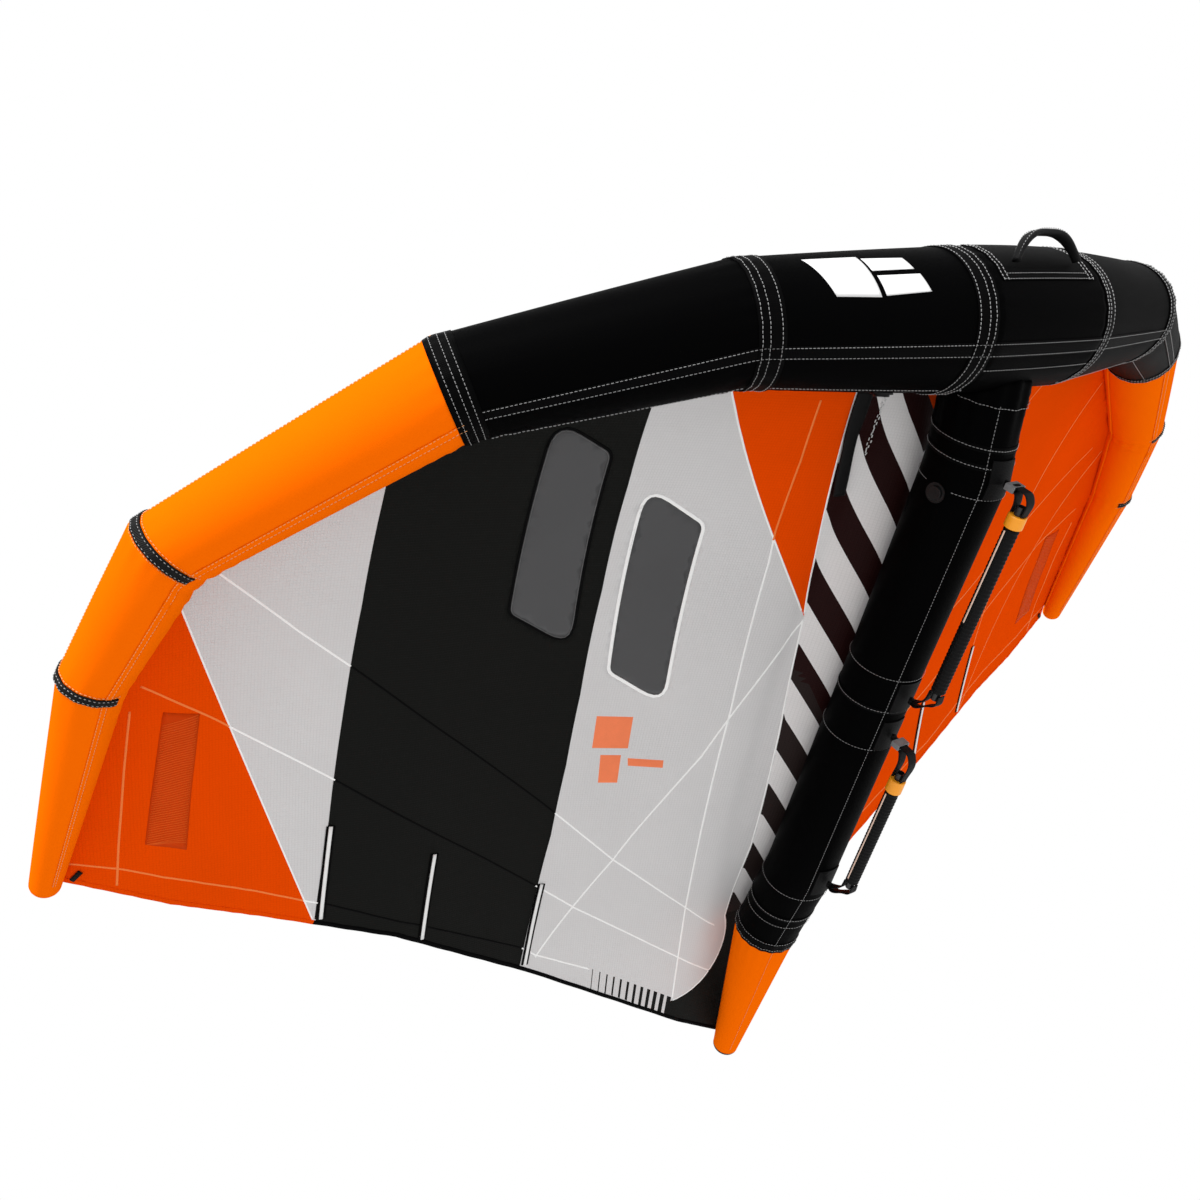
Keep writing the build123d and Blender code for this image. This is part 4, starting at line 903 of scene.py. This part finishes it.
# Long seams under the tube, and the tape where the canopy is sewn on.
SEAM_FROM, SEAM_TO = le_s(3, 0.03), le_s(8, -0.03)
SEAM_THICK, TAPE_ANGLES, TAPE_THICK = 0.0008, (22, 44), 0.0042
long_band("long_seam_black", SEAM_FROM, SEAM_TO, 264, 277, "band_black", "tube_black", SEAM_THICK)
long_band("canopy_tape_black", SEAM_FROM, SEAM_TO, *TAPE_ANGLES, "band_black", "tube_black", TAPE_THICK)
black_rows += [le_row(start, end, angle, angle, height) for start, end, angle, height in (
    (SEAM_FROM, SEAM_TO, 266, 0.0014), (SEAM_FROM, SEAM_TO, 275.5, 0.0014),
    (le_s(5, -0.01), le_s(6, 0.01), 289, 0.0010), (SEAM_FROM, le_s(5, 0), 318, 0.0008),
    (le_s(6, 0), SEAM_TO, 318, 0.0008))]
# Wear straps: joint, start and end offset, and the angles of their ends.
STRAPS = [(2, 0.007, 0.024, 40, 285), (1, -0.002, 0.013, 40, 298)]
STRAP_STITCH_IN = 0.003
for flip, side in ((False, "left"), (True, "right")):
    start, end = sorted(mirrored(flip, [0.05, 3]))
    long_band(f"long_seam_{side}", start, end, 274.5, 285.5, "tube_orange", "tube_orange", SEAM_THICK)
    long_band(f"canopy_tape_{side}", start, end, *TAPE_ANGLES, "tube_orange", "tube_orange", TAPE_THICK)
    orange_rows += [le_row(start, end, angle, angle, height) for angle, height in (
        (276, 0.0014), (284, 0.0014), (148, 0.0006), (46, 0.0006))]
    for joint, first, last, low, high in STRAPS:
        nodes = ["le_wear_straps"] if joint == 2 and not flip else ()
        le_band(f"wear_strap_{side}_{joint}", *sorted(mirrored(flip, [le_s(joint, first), le_s(joint, last)])),
                "webbing", "webbing_black", 0.0006, 0.0030, (low, high), nodes)
        for rows, inset_by, angles, height in (
                (orange_rows, -STRAP_STITCH_IN, (46, high + 6), 0.0008),
                (strap_rows, STRAP_STITCH_IN, (low + 3, high - 2), 0.0040)):
            places = mirrored(flip, [le_s(joint, first + inset_by), le_s(joint, last - inset_by)])
            rows += [le_row(s, s, *angles, height) for s in places]

# Front handle: sewn patch and padded loop.
le_patch("le_handle_patch_visual", [(5.03, 162), (5.95, 162), (5.95, 217), (5.03, 217)], "band_black", 0.0003,
         0.0012, "webbing_black", 16, 40, ["le_handle_patch"])
patch_rows = [le_row(s, s, 163, 216, 0.0020) for s in (5.04, 5.08, 5.90, 5.94)]
patch_rows += [le_row(5.04, 5.94, 216, 216, 0.0020), le_row(5.08, 5.90, 211, 211, 0.0020)]
LOOP_CENTRE = np.array((0, -0.64731, 0.14996))
LOOP_OUT = np.array((0, -cos(radians(30)), sin(radians(30))))
LOOP_REACH, LOOP_RISE, LOOP_WIDTH, LOOP_THICK = 0.0865, 0.048, 0.026, 0.011
LOOP_STITCH_IN, LOOP_STITCH_OUT = 0.0088, 0.0057
t = np.linspace(-1, 1, 61)
arch = np.stack([LOOP_REACH * np.sign(t) * np.abs(t) ** 0.86, np.zeros_like(t), np.zeros_like(t)], -1)
arch += LOOP_CENTRE + LOOP_OUT * (LOOP_RISE * (1 - np.abs(t) ** 2.6))[:, None]
across = np.cross((1, 0, 0), LOOP_OUT)
inward = np.cross(np.gradient(arch, axis=0), across)
widths = np.interp(np.abs(t), (0.46, 0.69, 0.81, 0.92), (1.0, 0.82, 0.70, 0.64))
rings = sweep(arch, inward, oval(LOOP_WIDTH, LOOP_THICK), widths)
loop = piece("le_handle_loop_visual", *loft(rings), "webbing", "le_handle", "webbing_black",
             replaces=["le_handle_loop"])
outward = -unit(inward)
loop_rows = [(arch + across * (o * widths)[:, None] + outward * (LOOP_STITCH_OUT * widths)[:, None], outward)
             for o in (-LOOP_STITCH_IN, LOOP_STITCH_IN)]
stitches("loop_stitches", loop_rows, "thread_grey", "le_handle", length=0.004, pitch=0.0065, width=0.001)

# Plain blocks in the places of the printed marks, as (s, angle) corners.
PRINTED = {"print_block": [(4.232, 183), (4.455, 184), (4.480, 227), (4.300, 225)],
           "print_bar_upper": [(4.468, 187), (4.640, 189), (4.655, 203), (4.478, 203)],
           "print_bar_lower": [(4.488, 208), (4.668, 208), (4.690, 224), (4.500, 226)]}
for name, corners in PRINTED.items():
    le_patch(name, corners, "print_white", 0.0004, 0.0005, "tube_black")

stitches("tube_stitches_black", black_rows + patch_rows, "thread_grey")
stitches("tube_stitches_orange", orange_rows, "thread_orange", slot="tube_orange")
stitches("strap_stitches", strap_rows, "thread_grey", length=0.004, pitch=0.0075)


# ---- strut pieces
def strut_tube(name, start, end, finish, slot, nodes=(), count=4, height=0.0):
    """Cloth wall of the strut from one y to another; the start may differ at each angle."""
    t = np.linspace(0, 1, count)[:, None]
    y = np.broadcast_to(start, AROUND.shape)[None] * (1 - t) + end * t
    grids = [strut_at(y, AROUND[None], lift)[0] for lift in (height, height - WALL)]
    shell(name, *grids, finish, slot=slot, nodes=nodes, wrap=True)


STRUT_RINGS = (-0.318, -0.284, 0.210, 0.294, 0.399, 0.880, 0.965, 0.994, 1.068)
BANDED_RINGS, STRUT_BAND_HALF = (-0.318, -0.284, 0.294, 0.965), 0.006
strut_tube("strut_cloth", strut_root(AROUND, 0.001), TAIL_Y, "tube_black", "tube_black", ["strut_casing"], 190)
strut_tube("strut_tail_cloth", TAIL_Y, END_Y + 0.002, "tube_orange", "tube_orange", ["tail_casing"], 60)
strut_tube("strut_tail_band", TAIL_Y - 0.026, TAIL_Y + 0.004, "band_black", "tube_black", (), 8, 0.0022)
strut_rows = [strut_row(y, 0, 360) for y in STRUT_RINGS]
strut_rows += [strut_row(-0.395, 185, 355), strut_row(-0.223, 206, 530), strut_row(1.090, 0, 360, 0.0030),
               strut_seam(-0.40, 1.09, 241, 0.0012, 200)]
stitches("strut_stitches", strut_rows, "thread_grey", slot="tube_black")
stitches("tail_stitches", [strut_seam(1.10, 1.53, 244, 0.0010, 80)], "thread_orange", slot="tube_orange")
for y in BANDED_RINGS:
    strut_tube(f"strut_band_{int(round(y * 1000)) % 10000}", y - STRUT_BAND_HALF, y + STRUT_BAND_HALF,
               "band_black", "tube_black", height=0.0012)

# Sleeves beside the strut.
ZIGZAGS = np.arange(22)
for side, label in ((1, "right"), (-1, "left")):
    path = resample([(0.172, -0.352), (0.160, -0.250), (0.131, -0.114)], 0.01) * (side, 1)
    points, ups = canopy_at(path[:, 0], path[:, 1], -0.007)
    share = np.linspace(0, 1, len(path))
    widths = 1.0 - 0.25 * share + 0.06 * np.sin(9 * share)
    piece(f"root_sleeve_{label}", *loft(sweep(points, ups, oval(0.034, 0.009), widths)), "webbing",
          slot="webbing_black", replaces=["root_sleeves"] if side > 0 else ())
    swing = np.where(ZIGZAGS % 2, 0.004, -0.004)
    points, ups = canopy_at((0.119 + swing) * side - side * 0.0006 * ZIGZAGS, -0.340 + 0.0065 * ZIGZAGS, -0.0012)
    stitches(f"sleeve_zigzag_{label}", [(points, -ups)], "thread_white", length=0.0075, pitch=0.009, width=0.003)


# ---- grips
def strap_piece(name, body, path_yz, widths, nodes, thick=0.0032):
    """Webbing band in the plane of the strut, folded round a bar: path is (y, z)."""
    path = np.array([(0, y, z) for y, z in path_yz])
    reach = along(path)
    fine = np.linspace(0, reach[-1], 70)
    smooth = np.stack([smooth_interp(fine, reach, path[:, i]) for i in range(3)], -1)
    tangents = unit(np.gradient(smooth, axis=0))
    wide = np.interp(fine, reach, widths) / widths[0]
    rings = sweep(smooth, np.cross(tangents, (1, 0, 0)), oval(widths[0], thick, 14, 4.0), wide)
    piece(name, *loft(rings), "webbing", body, "webbing_black", replaces=nodes)


GRIP_SIDES = 64
KNURLS, KNURL_DEPTH, RIB_PITCH, RIB_DEPTH, FOAM_IN, END_ROUND = 16, 0.010, 0.0095, 0.0006, 0.0022, 0.004
PIPING_ANGLE = radians(168)
FOOT_WIDTH, STRAP_LEVEL = 0.0118, 0.0125
STRAP_WIDTHS = [0.010, 0.024, 0.025, 0.024, 0.020]
for name, foot_y, corner_y, ring_from, grip_from, grip_to, rear_y, hinge_z in HANDLES:
    body = f"{name}_handle"
    length = grip_to - grip_from
    ys = np.linspace(grip_from, grip_to, int(length / 0.0016))
    ends = np.clip(np.minimum(ys - grip_from, grip_to - ys) / END_ROUND, 0, 1)
    ribs = RIB_DEPTH * np.cos(2 * pi * ys / RIB_PITCH)
    radii = GRIP_R - FOAM_IN + ribs - 0.003 * (1 - np.sqrt(np.clip(1 - (1 - ends) ** 2, 0, 1)))
    a = np.arange(GRIP_SIDES) * 2 * pi / GRIP_SIDES
    knurl = 1 + KNURL_DEPTH * np.cos(KNURLS * a)
    y_grid = np.repeat(ys[:, None], GRIP_SIDES, 1)
    grids = [np.stack([r * np.cos(a), y_grid, r * np.sin(a)], -1)
             for r in (radii[:, None] * knurl, np.full_like(y_grid, CORE_R + 0.0002))]
    grip = shell(f"{name}_grip_visual", *grids, "grip_foam", body, "grip_foam", [f"{name}_grip"], wrap=True)
    line_y = np.linspace(grip_from + 0.006, grip_from + (0.55 if name == "front" else 0.95) * length, 80)
    out = np.array((cos(PIPING_ANGLE), 0, sin(PIPING_ANGLE)))
    line = PIPING_R * out + line_y[:, None] * (0, 1, 0)
    piece(f"{name}_grip_piping", *loft(sweep(line, out, oval(0.0040, 0.0022, 10, 2.0))), "piping", body,
          "ring_orange")
    # Straps: down from the strut, round the end of the core and back up.
    core_to, ring_end, grip_end = grip_to + 0.018, ring_from - 0.002, grip_to + 0.003
    foot_z, bend_z = hinge_z + 0.002, hinge_z - 0.016
    for label, path, widths in (
            ("front_strap_outer",
             [(foot_y - 0.002, hinge_z + 0.003), (corner_y - 0.002, bend_z), (corner_y - 0.001, 0.014),
              (corner_y + 0.001, -0.004), (corner_y + 0.012, -STRAP_LEVEL), (ring_end, -STRAP_LEVEL)],
             STRAP_WIDTHS[:3] + STRAP_WIDTHS[2:]),
            ("front_strap_inner",
             [(foot_y + 0.003, foot_z), (foot_y + 0.003, bend_z), (corner_y + 0.009, 0.018),
              (corner_y + 0.022, STRAP_LEVEL), (ring_end, STRAP_LEVEL)], STRAP_WIDTHS),
            ("rear_strap_outer",
             [(rear_y + 0.003, foot_z), (rear_y + 0.001, bend_z), (core_to + 0.020, 0.004),
              (core_to + 0.008, -0.011), (grip_end, -STRAP_LEVEL)], STRAP_WIDTHS),
            ("rear_strap_inner",
             [(rear_y - 0.003, foot_z), (rear_y - 0.010, bend_z), (core_to + 0.006, 0.0135), (grip_end, STRAP_LEVEL)],
             [0.010, 0.024, 0.024, 0.020])):
        nodes = [f"{name}_grip_{label[:-6]}"] if label.endswith("outer") else ()
        strap_piece(f"{name}_{label}", body, path, widths, nodes)
    for label, y in (("front", foot_y), ("rear", rear_y)):
        barrel = [(0, y + offset, hinge_z) for offset in (-0.007, -0.005, 0.005, 0.007)]
        rings = sweep(barrel, (0, 0, 1), oval(FOOT_WIDTH, FOOT_WIDTH, 20, 2.0), [0.8, 1, 1, 0.8])
        piece(f"{name}_{label}_foot", *loft(rings), "webbing", body, "webbing_black")

# ---- finishes of the CAD nodes that stay
KEPT = {"ring_orange": ["front_grip_ring", "rear_grip_ring"], "core_black": ["front_grip_core", "rear_grip_core"],
        "fitting_grey": ["front_grip_fitting", "rear_grip_fitting"], "patch_grey": ["handle_patches"],
        "bladder_film": ["le_bladder", "strut_bladder"], "webbing": ["tail_cap"],
        "valve_black": [f"{place}_valve_{part}" for place in ("le", "strut") for part in ("body", "cap", "poppet")]}
for finish, names in KEPT.items():
    for node in names:
        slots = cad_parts[node].data.materials
        if len(slots) == 0:
            slots.append(M[finish])
        for i in range(len(slots)):
            slots[i] = M[finish]

# ---- floor, light and camera
FLOOR_HALF, FLOOR_Z = 60, -6.5
SUN_FROM, SUN_STRENGTH, SUN_WIDTH = (-0.477, -0.847, 0.325), 3.5, 20
AMBIENT, BACKDROP = 0.74, 1.0
LENS, SENSOR, CAMERA_AT = 33.777, 36.0, (-1.7983, -1.0475, -1.0187)
# Directions in the photo: to its right, down it and into it.
RIGHT, DOWN, FORWARD = (0.8222, -0.1958, -0.5344), (-0.1571, 0.8244, -0.5438), (0.5471, 0.5311, 0.6471)


def add_object(name, data):
    """New object in the scene."""
    obj = bpy.data.objects.new(name, data)
    bpy.context.scene.collection.objects.link(obj)
    return obj


scene = bpy.context.scene
mesh = bpy.data.meshes.new("studio_floor")
corners = [(x * FLOOR_HALF, y * FLOOR_HALF, FLOOR_Z) for x, y in ((-1, -1), (1, -1), (1, 1), (-1, 1))]
mesh.from_pydata(corners, [], [(0, 1, 2, 3)])
mesh.materials.append(M["floor"])
studio_floor = add_object("studio_floor", mesh)

light = bpy.data.lights.new("key", "SUN")
light.energy, light.angle = SUN_STRENGTH, radians(SUN_WIDTH)
add_object("key", light).rotation_euler = Vector(SUN_FROM).to_track_quat("Z", "Y").to_euler()

scene.world = bpy.data.worlds.new("studio")
scene.world.use_nodes = True
tree = scene.world.node_tree
tree.nodes.clear()
ambient, backdrop = (new_node(tree, "ShaderNodeBackground", {"Color": (1, 1, 1, 1), "Strength": strength})
                     for strength in (AMBIENT, BACKDROP))
choose = new_node(tree, "ShaderNodeMixShader")
seen = new_node(tree, "ShaderNodeLightPath").outputs["Is Camera Ray"]
for value, socket in zip((seen, ambient.outputs[0], backdrop.outputs[0]), choose.inputs):
    plug(tree, value, socket)
new_node(tree, "ShaderNodeOutputWorld", {"Surface": choose.outputs[0]})
scene.view_settings.view_transform = "Standard"
scene.view_settings.look = "None"

camera_data = bpy.data.cameras.new("camera")
camera_data.lens, camera_data.sensor_width = LENS, SENSOR
camera_data.clip_start, camera_data.clip_end = 0.05, 200.0
camera = add_object("camera", camera_data)
turn = Matrix((RIGHT, [-v for v in DOWN], [-v for v in FORWARD])).transposed().to_4x4()
camera.matrix_world = Matrix.Translation(CAMERA_AT) @ turn
scene.camera = camera

bpy.context.view_layer.update()
